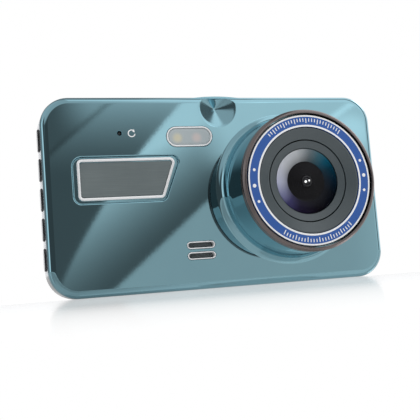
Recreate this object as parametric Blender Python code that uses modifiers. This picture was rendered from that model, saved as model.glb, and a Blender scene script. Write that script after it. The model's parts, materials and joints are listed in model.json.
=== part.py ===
"""Dash camera: a slim in-car camera with one wide-angle lens, side keys and a screen on its back.

+Z is up, the lens looks along -Y and +X is to the right as the lens side is seen. The origin is on
the surface that the camera stands on, under the middle of its bounding box. Every size below is in
millimetres in the body's own frame, where y = 0 is the front face and z = 0 the bottom edge, and
the helpers turn millimetres into metres. An optical piece is drawn by its height above the face.
"""
import math

import bmesh
import bpy

MM = 0.001

# Body
WIDTH = 106.0
HEIGHT = 58.6
DEPTH = 14.0
CORNER = 8.5
EDGE_ROUND = 2.2
FRONT_WALL = 1.8
SIDE_WALL = 1.6
FRAME_WALL = 1.5
GAP = 0.2
PART_GAP = 0.1
SPLIT_FRONT = 3.5
SPLIT_REAR = 10.5

# Lens assembly: radii, and heights above the front face
LENS_X = 21.6
LENS_Z = 29.1
LENS_PROUD = 17.6
BOSS_FOOT_R = 23.6
BOSS_R = 21.0
BOSS_TIP_R = 20.7
BOSS_TOP = 14.8
BOSS_COVE = 3.4
BORE_R = 18.85
BEZEL_R = 20.9
BEZEL_BORE_R = 19.75
FLANGE_R = 19.55
LABEL_TOP = 17.0
LABEL_OUTER_R = 19.2
LABEL_INNER_R = 15.75
RING_GAP_R = 12.1
GLASS_R = 9.65
GLASS_EDGE = 14.75
GLASS_APEX = 17.35
THREAD_R = 8.0

# Side keys, from top to bottom
KEY_NAMES = ("power_button", "menu_button", "up_button", "ok_button", "down_button")
KEY_TOP_Z = 47.0
KEY_PITCH = 8.775
KEY_LENGTH = 6.6
KEY_WIDTH = 4.0
KEY_PROUD = 0.45
KEY_Y = 7.1
KEY_FLANGE = 0.6
KEY_TRAVEL = 0.45

# Name plate, a trapezium with a slanted right side: (x, z, corner radius)
PLATE_RECESS = ((-45.0, 26.5, 2.6), (-17.25, 26.5, 2.6), (-11.3, 41.0, 2.4), (-45.0, 41.0, 3.2))
PLATE_RIM = ((-43.3, 27.8, 1.5), (-17.9, 27.8, 1.5), (-13.3, 40.0, 1.6), (-43.3, 40.0, 1.5))
PLATE_FACE = ((-42.6, 28.6, 0.9), (-18.4, 28.6, 0.9), (-14.4, 39.0, 0.9), (-42.6, 39.0, 0.9))
PLATE_RECESS_DEPTH = 0.9

# Fill light
LIGHT_X = -8.9
LIGHT_Z = 46.1
LIGHT_LENGTH = 14.3
LIGHT_HEIGHT = 6.1
LIGHT_RIM = 0.5
LED_SPACING = 6.0

# Speaker slots
SLOT_X = -7.9
SLOT_ZS = (("speaker_trim_upper", 13.15), ("speaker_trim_lower", 10.0))
SLOT_LENGTH = 8.7
SLOT_HEIGHT = 2.2
SLOT_RIM = 0.35

# Reset pin
RESET_X = -30.2
RESET_Z = 47.45
RESET_HOLE_R = 0.65

# Conical scoop at the top of the front face, and the low hump over it
SCOOP_X = 0.6
SCOOP_Z = 55.0
SCOOP_R = 5.5
SCOOP_DEPTH = 2.6
SCOOP_ROOF = 57.9
SCOOP_PAD_R = 6.3
HUMP_HALF = 3.75
HUMP_RISE = 0.12

# Sockets along the top and side edges
SOCKET_LENGTH = 13.8
SOCKET_Y = (4.8, 9.4)
SOCKET_Z = (55.0, 58.5)
USB_X = -24.0
USB_WIDTH = 7.7
PORT_Y = (4.3, 7.95)
JACK_X = 14.0
JACK_R = 2.4
CARD_Z = 15.8
CARD_WIDTH = 11.0
CARD_LENGTH = 15.0
CARD_Y = (6.85, 7.55)
MIC_X = -24.0
MIC_Y = 5.6

# Main board and its screws
BOARD_Y = (8.1, 9.0)
SCREW_X = 48.2
SCREW_INSET_Z = 4.8
SCREW_R = 0.55

# Optical module
HOLDER_SIZE = 20.0
SENSOR_BOARD_Y = (5.95, 6.8)
HOLDER_SCREW_OFFSET = 8.3
HOLDER_HOLE_R = 0.65

# Display
GLASS_SIZE = (99.0, 53.2)
PANEL_SIZE = (91.6, 51.4)

# Facets on round shapes
CORNER_STEPS = 6
ARC_STEPS = 4
BIG_STEPS = 44
SMALL_STEPS = 20

# The body's frame is moved so that the bounding box is centred over the origin
SHIFT_X = KEY_PROUD / 2
SHIFT_Y = (LENS_PROUD - DEPTH) / 2

# Colours are (red, green, blue), then roughness and metallic
FINISHES = {
    "teal_paint": ((0.17, 0.29, 0.33), 0.18, 0.35),
    "silver": ((0.78, 0.79, 0.80), 0.25, 0.9),
    "black_gloss": ((0.012, 0.012, 0.014), 0.12, 0.0),
    "black_matte": ((0.03, 0.03, 0.033), 0.55, 0.0),
    "chrome": ((0.85, 0.85, 0.86), 0.07, 1.0),
    "gunmetal": ((0.23, 0.21, 0.20), 0.25, 0.9),
    "label_blue": ((0.05, 0.13, 0.42), 0.4, 0.0),
    "hood_grey": ((0.05, 0.06, 0.065), 0.45, 0.0),
    "lens_glass": ((0.02, 0.03, 0.05), 0.03, 0.0),
    "frosted": ((0.68, 0.67, 0.70), 0.45, 0.0),
    "led": ((0.85, 0.78, 0.45), 0.4, 0.0),
    "brushed": ((0.15, 0.17, 0.175), 0.35, 0.8),
    "board_green": ((0.02, 0.16, 0.07), 0.4, 0.0),
    "chip": ((0.02, 0.02, 0.022), 0.5, 0.0),
    "flex": ((0.55, 0.27, 0.05), 0.45, 0.0),
    "rubber": ((0.02, 0.02, 0.02), 0.8, 0.0),
    "steel": ((0.6, 0.6, 0.61), 0.3, 1.0),
    "foil": ((0.62, 0.63, 0.66), 0.35, 0.6),
    "red_wire": ((0.5, 0.02, 0.02), 0.45, 0.0),
    "card": ((0.03, 0.03, 0.035), 0.4, 0.0),
}


def clear_scene():
    for item in list(bpy.data.objects):
        bpy.data.objects.remove(item, do_unlink=True)


def make_collections():
    parts = bpy.data.collections.new("dash_camera")
    cutters = bpy.data.collections.new("cutters")
    bpy.context.scene.collection.children.link(parts)
    bpy.context.scene.collection.children.link(cutters)
    root = bpy.data.objects.new("body_frame", None)
    root.location = (SHIFT_X * MM, SHIFT_Y * MM, 0.0)
    parts.objects.link(root)
    return parts, cutters, root


def add_object(name, data, location=(0.0, 0.0, 0.0), rotation=(0.0, 0.0, 0.0)):
    """Link new object data under the body's frame, at a place in millimetres."""
    item = bpy.data.objects.new(name, data)
    item.location = [value * MM for value in location]
    item.rotation_euler = rotation
    item.parent = ROOT
    PARTS.objects.link(item)
    return item


def finish(item, look):
    """Give an object its own material, and smooth shading with sharp corners."""
    colour, roughness, metallic = FINISHES[look]
    material = bpy.data.materials.new(item.name + "_finish")
    material.use_nodes = True
    shader = material.node_tree.nodes["Principled BSDF"]
    shader.inputs["Base Color"].default_value = (*colour, 1.0)
    shader.inputs["Roughness"].default_value = roughness
    shader.inputs["Metallic"].default_value = metallic
    item.data.materials.append(material)
    item.data.shade_smooth()
    item.data.set_sharp_from_angle(angle=math.radians(35))
    return item


def slab(name, x, y, z, corner=0.0, front=0.0, back=0.0):
    """A box over three spans, its edges along Y rounded, and its front and back rims rounded."""
    size = [span[1] - span[0] for span in (x, y, z)]
    centre = [(span[0] + span[1]) / 2 for span in (x, y, z)]
    mesh = bmesh.new()
    bmesh.ops.create_cube(mesh, size=1.0)
    bmesh.ops.scale(mesh, vec=[value * MM for value in size], verts=mesh.verts)
    if corner:
        along = [e for e in mesh.edges if abs(e.verts[0].co.y - e.verts[1].co.y) > 0.5 * size[1] * MM]
        bmesh.ops.bevel(mesh, geom=along, offset=corner * MM, segments=CORNER_STEPS, profile=0.5,
                        affect="EDGES")
    for side, radius in ((-1, front), (1, back)):
        if radius:
            rim = [e for e in mesh.edges if all(v.co.y * side > 0.499 * size[1] * MM for v in e.verts)]
            bmesh.ops.bevel(mesh, geom=rim, offset=radius * MM, segments=ARC_STEPS, profile=0.5,
                            affect="EDGES")
    data = bpy.data.meshes.new(name)
    mesh.to_mesh(data)
    mesh.free()
    return add_object(name, data, centre)


def arc(centre, radius, start, end, steps=ARC_STEPS):
    """Points of an arc from one angle to another, in degrees."""
    points = []
    for step in range(steps + 1):
        angle = math.radians(start + (end - start) * step / steps)
        points.append((centre[0] + radius * math.cos(angle), centre[1] + radius * math.sin(angle)))
    return points


def rounded(corners):
    """A closed outline through corners (u, v, radius) in anticlockwise order, each one rounded."""
    points = []
    for index, (u, v, radius) in enumerate(corners):
        before = corners[index - 1]
        after = corners[(index + 1) % len(corners)]
        into = math.atan2(v - before[1], u - before[0])
        out = math.atan2(after[1] - v, after[0] - u)
        turn = (out - into) % math.tau
        reach = radius * math.tan(turn / 2)
        start = (u - reach * math.cos(into), v - reach * math.sin(into))
        centre = (start[0] - radius * math.sin(into), start[1] + radius * math.cos(into))
        first = math.degrees(into) - 90.0
        points.extend(arc(centre, radius, first, first + math.degrees(turn)))
    return points


def box_outline(u, v, radius):
    """A rounded rectangle over two spans."""
    corners = ((u[0], v[0]), (u[1], v[0]), (u[1], v[1]), (u[0], v[1]))
    return rounded([(*corner, radius) for corner in corners])


def obround(centre, length, height, inset=0.0):
    """A slot outline with round ends, drawn smaller by the inset."""
    half_u = length / 2 - inset
    half_v = height / 2 - inset
    u = (centre[0] - half_u, centre[0] + half_u)
    v = (centre[1] - half_v, centre[1] + half_v)
    return box_outline(u, v, 0.999 * min(half_u, half_v))


def circle(centre, radius, steps=SMALL_STEPS):
    return arc(centre, radius, 0.0, 360.0 * (steps - 1) / steps, steps - 1)


# Turns a drawing plane into the body's planes: (x, z) along Y, (y, z) along X, (x, y) along Z
DRAWN_ALONG = {
    "X": (math.pi / 2, 0.0, math.pi / 2),
    "Y": (math.pi / 2, 0.0, 0.0),
    "Z": (0.0, 0.0, 0.0),
}


def prism(name, outlines, span, along="Y"):
    """A flat outline, with any holes as further outlines, extruded over a span of one axis."""
    curve = bpy.data.curves.new(name, "CURVE")
    curve.dimensions = "2D"
    curve.fill_mode = "BOTH"
    curve.extrude = (span[1] - span[0]) / 2 * MM
    for outline in outlines:
        spline = curve.splines.new("POLY")
        spline.points.add(len(outline) - 1)
        for point, (u, v) in zip(spline.points, outline):
            point.co = (u * MM, v * MM, 0.0, 1.0)
        spline.use_cyclic_u = True
    place = [0.0, 0.0, 0.0]
    place["XYZ".index(along)] = (span[0] + span[1]) / 2
    return as_mesh(name, add_object(name, curve, place, DRAWN_ALONG[along]))


def as_mesh(name, source):
    """Replace a curve object by a closed mesh object of the same name and place."""
    source.name = name + "_curve"
    shape = bpy.data.meshes.new_from_object(source.evaluated_get(bpy.context.evaluated_depsgraph_get()))
    shape.name = name
    mesh = bmesh.new()
    mesh.from_mesh(shape)
    bmesh.ops.remove_doubles(mesh, verts=mesh.verts, dist=1e-6)
    bmesh.ops.recalc_face_normals(mesh, faces=mesh.faces)
    mesh.to_mesh(shape)
    mesh.free()
    item = add_object(name, shape)
    item.matrix_world = source.matrix_world.copy()
    item.location = source.location
    item.rotation_euler = source.rotation_euler
    bpy.data.objects.remove(source, do_unlink=True)
    return item


def turned(name, profile, centre=(LENS_X, 0.0, LENS_Z), steps=BIG_STEPS, closed=True, along="Y"):
    """A profile of (radius, height) turned about an axis. For an optical piece the height runs
    out of the front face. The profile runs down the outer side, from the top to the bottom."""
    data = bpy.data.meshes.new(name)
    points = [(radius * MM, 0.0, height * MM) for radius, height in profile]
    edges = [(index, index + 1) for index in range(len(points) - 1)]
    if closed:
        edges.append((len(points) - 1, 0))
    data.from_pydata(points, edges, [])
    item = add_object(name, data, centre, DRAWN_ALONG[along])
    screw = item.modifiers.new("turn", "SCREW")
    screw.steps = steps
    screw.render_steps = steps
    screw.use_merge_vertices = True
    screw.merge_threshold = 0.00001
    return item


def tube(name, route, radius):
    """A wire along a smooth curve through the points of its route."""
    curve = bpy.data.curves.new(name, "CURVE")
    curve.dimensions = "3D"
    curve.bevel_depth = radius * MM
    curve.bevel_resolution = 2
    curve.use_fill_caps = True
    points = smooth_route(route)
    spline = curve.splines.new("POLY")
    spline.points.add(len(points) - 1)
    for point, place in zip(spline.points, points):
        point.co = (*[value * MM for value in place], 1.0)
    return as_mesh(name, add_object(name, curve))


def smooth_route(route, steps=3):
    """Points along a Catmull-Rom curve through a route."""
    padded = [route[0], *route, route[-1]]
    points = []
    for index in range(len(route) - 1):
        p0, p1, p2, p3 = padded[index:index + 4]
        for step in range(steps):
            t = step / steps
            points.append([0.5 * (2 * b + (c - a) * t + (2 * a - 5 * b + 4 * c - d) * t * t
                                  + (3 * b - a - 3 * c + d) * t ** 3)
                           for a, b, c, d in zip(p0, p1, p2, p3)])
    points.append(list(route[-1]))
    return points


def combine(target, other, operation):
    """Cut or join another shape, which moves to the cutters and isn't a part of its own."""
    for collection in list(other.users_collection):
        collection.objects.unlink(other)
    CUTTERS.objects.link(other)
    other.hide_render = True
    other.display_type = "WIRE"
    boolean = target.modifiers.new(other.name, "BOOLEAN")
    boolean.operation = operation
    boolean.solver = "EXACT"
    boolean.object = other
    return target


def cut(target, *others):
    for other in others:
        combine(target, other, "DIFFERENCE")


def join(target, *others):
    for other in others:
        combine(target, other, "UNION")


def body_slab(name, y, inset, corner, front=0.0, back=0.0):
    """A slab with the body's outline, smaller all round by the inset."""
    half = WIDTH / 2 - inset
    return slab(name, (-half, half), y, (inset, HEIGHT - inset), corner, front, back)


def scoop_cutter():
    """A cone that opens out of the front face, closed above by the roof of the scoop."""
    overrun = 1.0
    reach = SCOOP_DEPTH + overrun
    wide = SCOOP_R * reach / SCOOP_DEPTH
    cone = turned("scoop_cutter", ((0.0, overrun), (wide, overrun), (0.0, -SCOOP_DEPTH)),
                  (SCOOP_X, 0.0, SCOOP_Z), 32, closed=False)
    roof = slab("scoop_roof", (SCOOP_X - 12.0, SCOOP_X + 12.0), (-overrun - 1.0, SCOOP_DEPTH + 1.0),
                (SCOOP_ROOF, SCOOP_ROOF + 8.0))
    cut(cone, roof)
    return cone


def hump():
    """The low rise on the top edge that keeps the wall over the scoop."""
    radius = (HUMP_HALF ** 2 + HUMP_RISE ** 2) / (2 * HUMP_RISE)
    base = HEIGHT - 0.6
    centre = (SCOOP_X, HEIGHT + HUMP_RISE - radius)
    spread = math.degrees(math.acos((base - centre[1]) / radius))
    return prism("hump", [arc(centre, radius, 90.0 - spread, 90.0 + spread, 8)], (0.9, SPLIT_FRONT - 0.2))


def boss():
    """The lens tube moulded on the front cover, with a cove round its foot."""
    profile = [(BOSS_TIP_R - 0.25, BOSS_TOP), (BOSS_TIP_R, BOSS_TOP - 0.25)]
    cove_r = BOSS_FOOT_R - BOSS_R
    for step in range(6):
        angle = math.radians(90.0 * step / 5)
        profile.append((BOSS_FOOT_R - cove_r * math.cos(angle), BOSS_COVE * (1.0 - math.sin(angle))))
    profile += [(BOSS_FOOT_R, -0.8), (BORE_R - 1.0, -0.8), (BORE_R - 1.0, BOSS_TOP)]
    return turned("boss", profile)


def front_cover():
    """Painted front shell with the lens tube, and openings for everything that shows through it."""
    cover = body_slab("front_cover", (0.0, SPLIT_FRONT), 0.0, CORNER, front=EDGE_ROUND)
    cavity = body_slab("front_cavity", (FRONT_WALL, SPLIT_FRONT + 1.0), SIDE_WALL, CORNER - SIDE_WALL)
    cut(cover, cavity)
    pad_lift = math.degrees(math.asin((SCOOP_ROOF - 0.4 - SCOOP_Z) / SCOOP_PAD_R))
    pad_outline = arc((SCOOP_X, SCOOP_Z), SCOOP_PAD_R, -180.0 - pad_lift, pad_lift, 14)
    pad = prism("scoop_pad", [pad_outline], (FRONT_WALL - 0.6, SPLIT_FRONT - 0.1))
    sleeve = turned("reset_sleeve", ((2.1, -1.2), (2.1, -4.2), (1.4, -4.2), (1.4, -1.2)),
                    (RESET_X, 0.0, RESET_Z), SMALL_STEPS)
    join(cover, pad, hump(), sleeve, boss())
    above = BOSS_TOP + 1.0
    bore = turned("lens_bore", ((0.0, above), (BORE_R, above), (BORE_R, -3.0), (0.0, -3.0)),
                  closed=False)
    recess = prism("plate_recess", [rounded(PLATE_RECESS)], (-1.0, PLATE_RECESS_DEPTH))
    through = (-1.0, 3.0)
    light_outline = obround((LIGHT_X, LIGHT_Z), LIGHT_LENGTH, LIGHT_HEIGHT, -PART_GAP)
    light = prism("light_opening", [light_outline], through)
    pin_hole = prism("reset_hole", [circle((RESET_X, RESET_Z), RESET_HOLE_R, 12)], through)
    cut(cover, scoop_cutter(), bore, recess, light, pin_hole)
    for name, z in SLOT_ZS:
        slot_outline = obround((SLOT_X, z), SLOT_LENGTH, SLOT_HEIGHT, -PART_GAP)
        cut(cover, prism(name + "_opening", [slot_outline], through))
    return finish(cover, "teal_paint")


def key_heights():
    return [KEY_TOP_Z - index * KEY_PITCH for index in range(len(KEY_NAMES))]


def middle_frame():
    """Silver band round the edge, with the openings for keys, sockets and card, and screw lugs."""
    frame = body_slab("middle_frame", (SPLIT_FRONT + GAP, SPLIT_REAR), 0.0, CORNER)
    lug_front = BOARD_Y[1] + GAP
    room_corner = CORNER - FRAME_WALL
    front_room = body_slab("frame_front_room", (SPLIT_FRONT - 1.0, lug_front), FRAME_WALL, room_corner)
    rear_room = body_slab("frame_rear_room", (lug_front - 0.5, SPLIT_REAR + 1.0), FRAME_WALL + 0.1, 15.0)
    cut(frame, front_room, rear_room)
    left_wall = (-WIDTH / 2 - 1.0, -WIDTH / 2 + FRAME_WALL + 0.6)
    for name, z in zip(KEY_NAMES, key_heights()):
        opening = box_outline((KEY_Y - KEY_WIDTH / 2 - 0.15, KEY_Y + KEY_WIDTH / 2 + 0.15),
                              (z - KEY_LENGTH / 2 - 0.15, z + KEY_LENGTH / 2 + 0.15), 1.7)
        cut(frame, prism(name + "_opening", [opening], left_wall, "X"))
    top_wall = (HEIGHT - FRAME_WALL - 0.5, HEIGHT + 1.0)
    usb_u = (USB_X - USB_WIDTH / 2 - 0.15, USB_X + USB_WIDTH / 2 + 0.15)
    usb_v = (PORT_Y[0] - PART_GAP, PORT_Y[1] + PART_GAP)
    usb_opening = prism("usb_opening", [box_outline(usb_u, usb_v, 0.8)], top_wall, "Z")
    jack_y = (PORT_Y[0] + PORT_Y[1]) / 2
    jack_opening = prism("jack_opening", [circle((JACK_X, jack_y), JACK_R - 0.4)], top_wall, "Z")
    socket_u = (-SOCKET_LENGTH / 2 - 0.15, SOCKET_LENGTH / 2 + 0.15)
    socket_v = (SOCKET_Y[0] - 0.15, SOCKET_Y[1] + 0.15)
    socket_opening = prism("socket_opening", [box_outline(socket_u, socket_v, 0.2)], top_wall, "Z")
    card_v = (CARD_Z - CARD_WIDTH / 2 - 0.3, CARD_Z + CARD_WIDTH / 2 + 0.3)
    card_opening = prism("card_opening", [box_outline((CARD_Y[0] - 0.25, CARD_Y[1] + 0.25), card_v, 0.4)],
                         (WIDTH / 2 - FRAME_WALL - 0.5, WIDTH / 2 + 1.0), "X")
    mic_hole = prism("mic_hole", [circle((MIC_X, MIC_Y), 0.5, 12)], (-1.0, FRAME_WALL + 0.5), "Z")
    cut(frame, usb_opening, jack_opening, socket_opening, card_opening, mic_hole)
    for index, (x, z) in enumerate(screw_places()):
        cut(frame, prism("lug_hole_%d" % (index + 1), [circle((x, z), SCREW_R + GAP, 12)], (8.8, 11.0)))
    return finish(frame, "silver")


def screw_places():
    return [(x, z) for z in (SCREW_INSET_Z, HEIGHT - SCREW_INSET_Z) for x in (-SCREW_X, SCREW_X)]


def side_keys():
    """Five keys that slide inwards along X, each held behind the wall by its flange."""
    outer = -WIDTH / 2 - KEY_PROUD
    flange_front = -WIDTH / 2 + FRAME_WALL + 0.15
    flange_back = flange_front + 0.5
    for name, z in zip(KEY_NAMES, key_heights()):
        shape = box_outline((-KEY_WIDTH / 2, KEY_WIDTH / 2), (-KEY_LENGTH / 2, KEY_LENGTH / 2), 1.6)
        key = prism(name, [shape], (outer, flange_back), "X")
        key.location = [(outer + flange_back) / 2 * MM, KEY_Y * MM, z * MM]
        flange_u = (KEY_Y - KEY_WIDTH / 2, KEY_Y + KEY_WIDTH / 2)
        flange_v = (z - KEY_LENGTH / 2 - KEY_FLANGE, z + KEY_LENGTH / 2 + KEY_FLANGE)
        flange_outline = box_outline(flange_u, flange_v, 1.6)
        join(key, prism(name + "_flange", [flange_outline], (flange_front, flange_back), "X"))
        finish(key, "gunmetal")


def button_board():
    """Upright circuit strip behind the keys, with one click switch for each."""
    back = -WIDTH / 2 + 4.7
    front = back - 0.8
    nub_tip = -WIDTH / 2 + FRAME_WALL + 0.65 + KEY_TRAVEL + 0.15
    board = slab("button_board", (front, back), (4.4, 9.1), (8.2, 50.4))
    for name, z in zip(KEY_NAMES, key_heights()):
        half = 1.6
        switch = slab(name + "_switch", (nub_tip + 0.35, front + 0.3), (KEY_Y - half, KEY_Y + half),
                      (z - half, z + half))
        nub = prism(name + "_nub", [circle((KEY_Y, z), 0.6, 10)], (nub_tip, front + 0.1), "X")
        join(board, switch, nub)
    return finish(board, "board_green")


def rear_cover():
    """Black back shell that carries the display and its glass."""
    cover = body_slab("rear_cover", (SPLIT_REAR + GAP, DEPTH), 0.2, CORNER - 0.2, back=1.6)
    room = body_slab("rear_room", (SPLIT_REAR - 1.0, 12.0), 1.9, CORNER - 1.9)
    panel_w, panel_h = PANEL_SIZE
    glass_w, glass_h = GLASS_SIZE
    window = centred_slab("panel_window", panel_w + 0.4, panel_h + 0.4, (11.0, 13.0), 0.8)
    seat = centred_slab("glass_seat", glass_w + 0.3, glass_h + 0.3, (DEPTH - 1.15, DEPTH + 1.0), 5.0)
    cut(cover, room, window, seat)
    return finish(cover, "black_matte")


def centred_slab(name, width, height, y, corner=0.0):
    middle = HEIGHT / 2
    return slab(name, (-width / 2, width / 2), y, (middle - height / 2, middle + height / 2), corner)


def display():
    """Cover glass, the display module behind it and the ribbon to the main board."""
    glass_w, glass_h = GLASS_SIZE
    panel_w, panel_h = PANEL_SIZE
    finish(centred_slab("screen_glass", glass_w, glass_h, (DEPTH - 1.0, DEPTH - 0.05), 4.85), "black_gloss")
    finish(centred_slab("display_panel", panel_w, panel_h, (SPLIT_REAR + 0.3, DEPTH - 1.2), 0.5), "foil")
    ribbon = ((9.2, 12.0), (9.2, 24.0), (9.4, 24.0), (9.4, 12.2), (10.45, 9.0), (10.65, 9.0),
              (10.65, 4.0), (10.45, 4.0), (10.45, 8.8))
    finish(prism("display_flex", [ribbon], (-10.0, 10.0), "X"), "flex")


def mount_socket():
    """Keyhole socket in the top edge that a windscreen bracket's foot slides into."""
    y0, y1 = SOCKET_Y
    z0, z1 = SOCKET_Z
    middle = (y0 + y1) / 2
    half = SOCKET_LENGTH / 2
    socket = slab("mount_socket", (-half, half), SOCKET_Y, SOCKET_Z)
    lip = z1 - 1.1
    floor = z0 + 0.8
    undercut = slab("socket_undercut", (-half + 1.0, half - 1.0), (middle - 1.6, middle + 1.6), (floor, lip))
    entry = slab("socket_entry", (0.6, half - 1.0), (middle - 1.6, middle + 1.6), (floor + 0.3, z1 + 1.0))
    neck = slab("socket_neck", (-half + 1.0, 1.6), (middle - 0.9, middle + 0.9), (lip - 0.5, z1 + 1.0))
    cut(socket, undercut, entry, neck)
    return finish(socket, "black_matte")


def lens_front():
    """Bezel, printed ring and dished hood round the glass."""
    bezel = turned("lens_bezel", (
        (20.0, LENS_PROUD), (20.45, LENS_PROUD - 0.05), (BEZEL_R - 0.05, LENS_PROUD - 0.45),
        (BEZEL_R, 16.2), (BEZEL_R - 0.35, 16.05), (BEZEL_R - 0.35, 15.85), (BEZEL_R, 15.7),
        (BEZEL_R, BOSS_TOP + GAP), (BEZEL_BORE_R, BOSS_TOP + GAP), (BEZEL_BORE_R, LENS_PROUD - 0.3)))
    finish(bezel, "gunmetal")
    seat = LABEL_TOP - 0.7
    label = turned("lens_label_ring", (
        (LABEL_INNER_R, LABEL_TOP), (LABEL_OUTER_R, LABEL_TOP),
        (LABEL_OUTER_R, seat), (LABEL_INNER_R, seat)))
    finish(label, "label_blue")
    lip = LABEL_INNER_R - 0.2
    inner = RING_GAP_R + 0.15
    hood = turned("lens_hood", (
        (lip - 0.4, LABEL_TOP - 0.25), (lip, LABEL_TOP - 0.25), (lip, seat - 0.15), (FLANGE_R, seat - 0.15),
        (FLANGE_R, BOSS_TOP + GAP), (BORE_R - GAP, BOSS_TOP + GAP), (BORE_R - GAP, 9.0),
        (BORE_R - 1.5, 9.0), (BORE_R - 1.5, 14.2), (inner, 14.2), (inner, 15.6)))
    finish(hood, "hood_grey")


def lens_seal():
    """Foam ring under the hood that keeps dust out of the lens tube."""
    seal = turned("lens_seal", ((16.6, 14.0), (16.6, 13.1), (12.4, 13.1), (12.4, 14.0)), steps=32)
    return finish(seal, "rubber")


def lens_barrel():
    """Threaded barrel that holds the three lens elements, with stepped light baffles inside."""
    outer = RING_GAP_R - 0.15
    bore = GLASS_R + 0.15
    barrel = turned("lens_barrel", (
        (outer, 15.5), (outer, 11.2), (THREAD_R, 10.0), (THREAD_R, 0.8), (6.8, 0.8), (4.3, 1.4),
        (4.3, 7.0), (1.9, 7.2), (1.9, 7.6), (3.0, 8.0), (6.0, 8.0), (6.0, 10.8), (7.2, 10.8),
        (7.2, 11.6), (8.4, 11.6), (8.4, 12.3), (bore, 12.3), (bore, 14.85)), steps=32)
    return finish(barrel, "black_matte")


def cap_profile(radius, edge, apex, steps):
    """Points of a spherical surface from its apex on the axis out to its edge."""
    rise = apex - edge
    sphere = (radius ** 2 + rise ** 2) / (2 * rise)
    limit = math.asin(radius / abs(sphere))
    return [(abs(sphere) * math.sin(limit * step / steps),
             apex - sphere * (1.0 - math.cos(limit * step / steps))) for step in range(steps + 1)]


def lens_elements():
    """Front meniscus, a smaller element under it and one behind the stop."""
    front = cap_profile(GLASS_R, GLASS_EDGE, GLASS_APEX, 6)
    hollow = cap_profile(6.6, 12.6, 14.9, 4)
    hollow.reverse()
    lens = turned("front_lens", [*front, (GLASS_R, 12.6), *hollow], closed=False, steps=32)
    finish(lens, "lens_glass")
    dome = cap_profile(5.7, 9.2, 10.6, 4)
    finish(turned("inner_lens", [*dome, (5.7, 8.2), (0.0, 8.2)], closed=False, steps=24), "lens_glass")
    back = cap_profile(4.1, 4.9, 5.9, 3)
    finish(turned("rear_lens", [*back, (4.1, 3.4), (0.0, 3.4)], closed=False, steps=24), "lens_glass")


def lens_holder():
    """Square-footed tube that the barrel screws into, over the image sensor."""
    half = HOLDER_SIZE / 2
    top = 4.3
    foot = SENSOR_BOARD_Y[0] - GAP
    holder = slab("lens_holder", (LENS_X - half, LENS_X + half), (top, foot), (LENS_Z - half, LENS_Z + half))
    low = -foot + 0.5
    collar = turned("holder_collar", ((9.6, 6.0), (9.6, low), (5.0, low), (5.0, 6.0)), steps=32)
    join(holder, collar)
    wide = THREAD_R + GAP
    bore = turned("holder_bore", ((0.0, 7.0), (wide, 7.0), (wide, -top + 0.5), (6.0, -top + 0.5),
                                  (6.0, -foot - 1.0), (0.0, -foot - 1.0)), steps=32, closed=False)
    cut(holder, bore)
    for index, (x, z) in enumerate(holder_screw_places()):
        hole = circle((x, z), HOLDER_HOLE_R, 12)
        cut(holder, prism("holder_hole_%d" % (index + 1), [hole], (top - 1.0, foot + 1.0)))
    return finish(holder, "black_matte")


def holder_screw_places():
    offset = HOLDER_SCREW_OFFSET
    return ((LENS_X - offset, LENS_Z + offset), (LENS_X + offset, LENS_Z - offset))


def sensor_unit():
    """Image sensor on its small board, and the ribbon from it to the main board."""
    y0, y1 = SENSOR_BOARD_Y
    sensor = slab("image_sensor", (LENS_X - 3.6, LENS_X + 3.6), (y0 - 0.85, y0 - 0.1),
                  (LENS_Z - 2.6, LENS_Z + 2.6))
    finish(sensor, "chip")
    board = slab("sensor_board", (LENS_X - 12.0, LENS_X + 12.0), (y0, y1), (LENS_Z - 12.0, LENS_Z + 12.0))
    for index, (x, z) in enumerate(holder_screw_places()):
        hole = circle((x, z), HOLDER_HOLE_R, 12)
        cut(board, prism("sensor_hole_%d" % (index + 1), [hole], (y0 - 1.0, y1 + 1.0)))
        screw = turned("holder_screw_%d" % (index + 1), (
            (0.0, -3.5), (1.05, -3.5), (1.05, -4.1), (0.45, -4.1), (0.45, -y1 - 0.4), (0.0, -y1 - 0.4)),
            (x, 0.0, z), 12, closed=False)
        finish(screw, "steel")
    finish(board, "board_green")
    ribbon = ((15.0, 6.95), (15.0, 7.15), (9.6, 7.15), (7.0, 7.95), (3.0, 7.95), (3.0, 7.75),
              (6.9, 7.75), (9.5, 6.95))
    finish(prism("sensor_flex", [ribbon], (LENS_Z - 5.0, LENS_Z + 3.0), "Z"), "flex")


def fill_light():
    """Chrome rim, frosted window, and the two lamps on their board."""
    centre = (LIGHT_X, LIGHT_Z)
    inner = obround(centre, LIGHT_LENGTH, LIGHT_HEIGHT, LIGHT_RIM)
    rim = prism("light_bezel", [obround(centre, LIGHT_LENGTH, LIGHT_HEIGHT), inner], (-0.3, 2.4))
    flange = [obround(centre, 15.6, 7.4), obround(centre, 13.34, 5.14)]
    join(rim, prism("light_rim_flange", flange, (2.0, 2.45)))
    finish(rim, "chrome")
    inside_rim = obround(centre, LIGHT_LENGTH, LIGHT_HEIGHT, LIGHT_RIM + PART_GAP)
    window = prism("light_window", [inside_rim], (-0.1, 2.7))
    join(window, prism("light_window_flange", [obround(centre, 15.0, 7.0)], (2.6, 3.0)))
    finish(window, "frosted")
    finish(slab("light_board", (LIGHT_X - 7.0, LIGHT_X + 7.0), (4.1, 4.9), (42.7, 48.7)), "board_green")
    for name, side in (("led_left", -1), ("led_right", 1)):
        x = LIGHT_X - 0.8 + side * LED_SPACING / 2
        finish(slab(name, (x - 1.4, x + 1.4), (3.2, 4.0), (44.3, 47.1)), "led")


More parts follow.
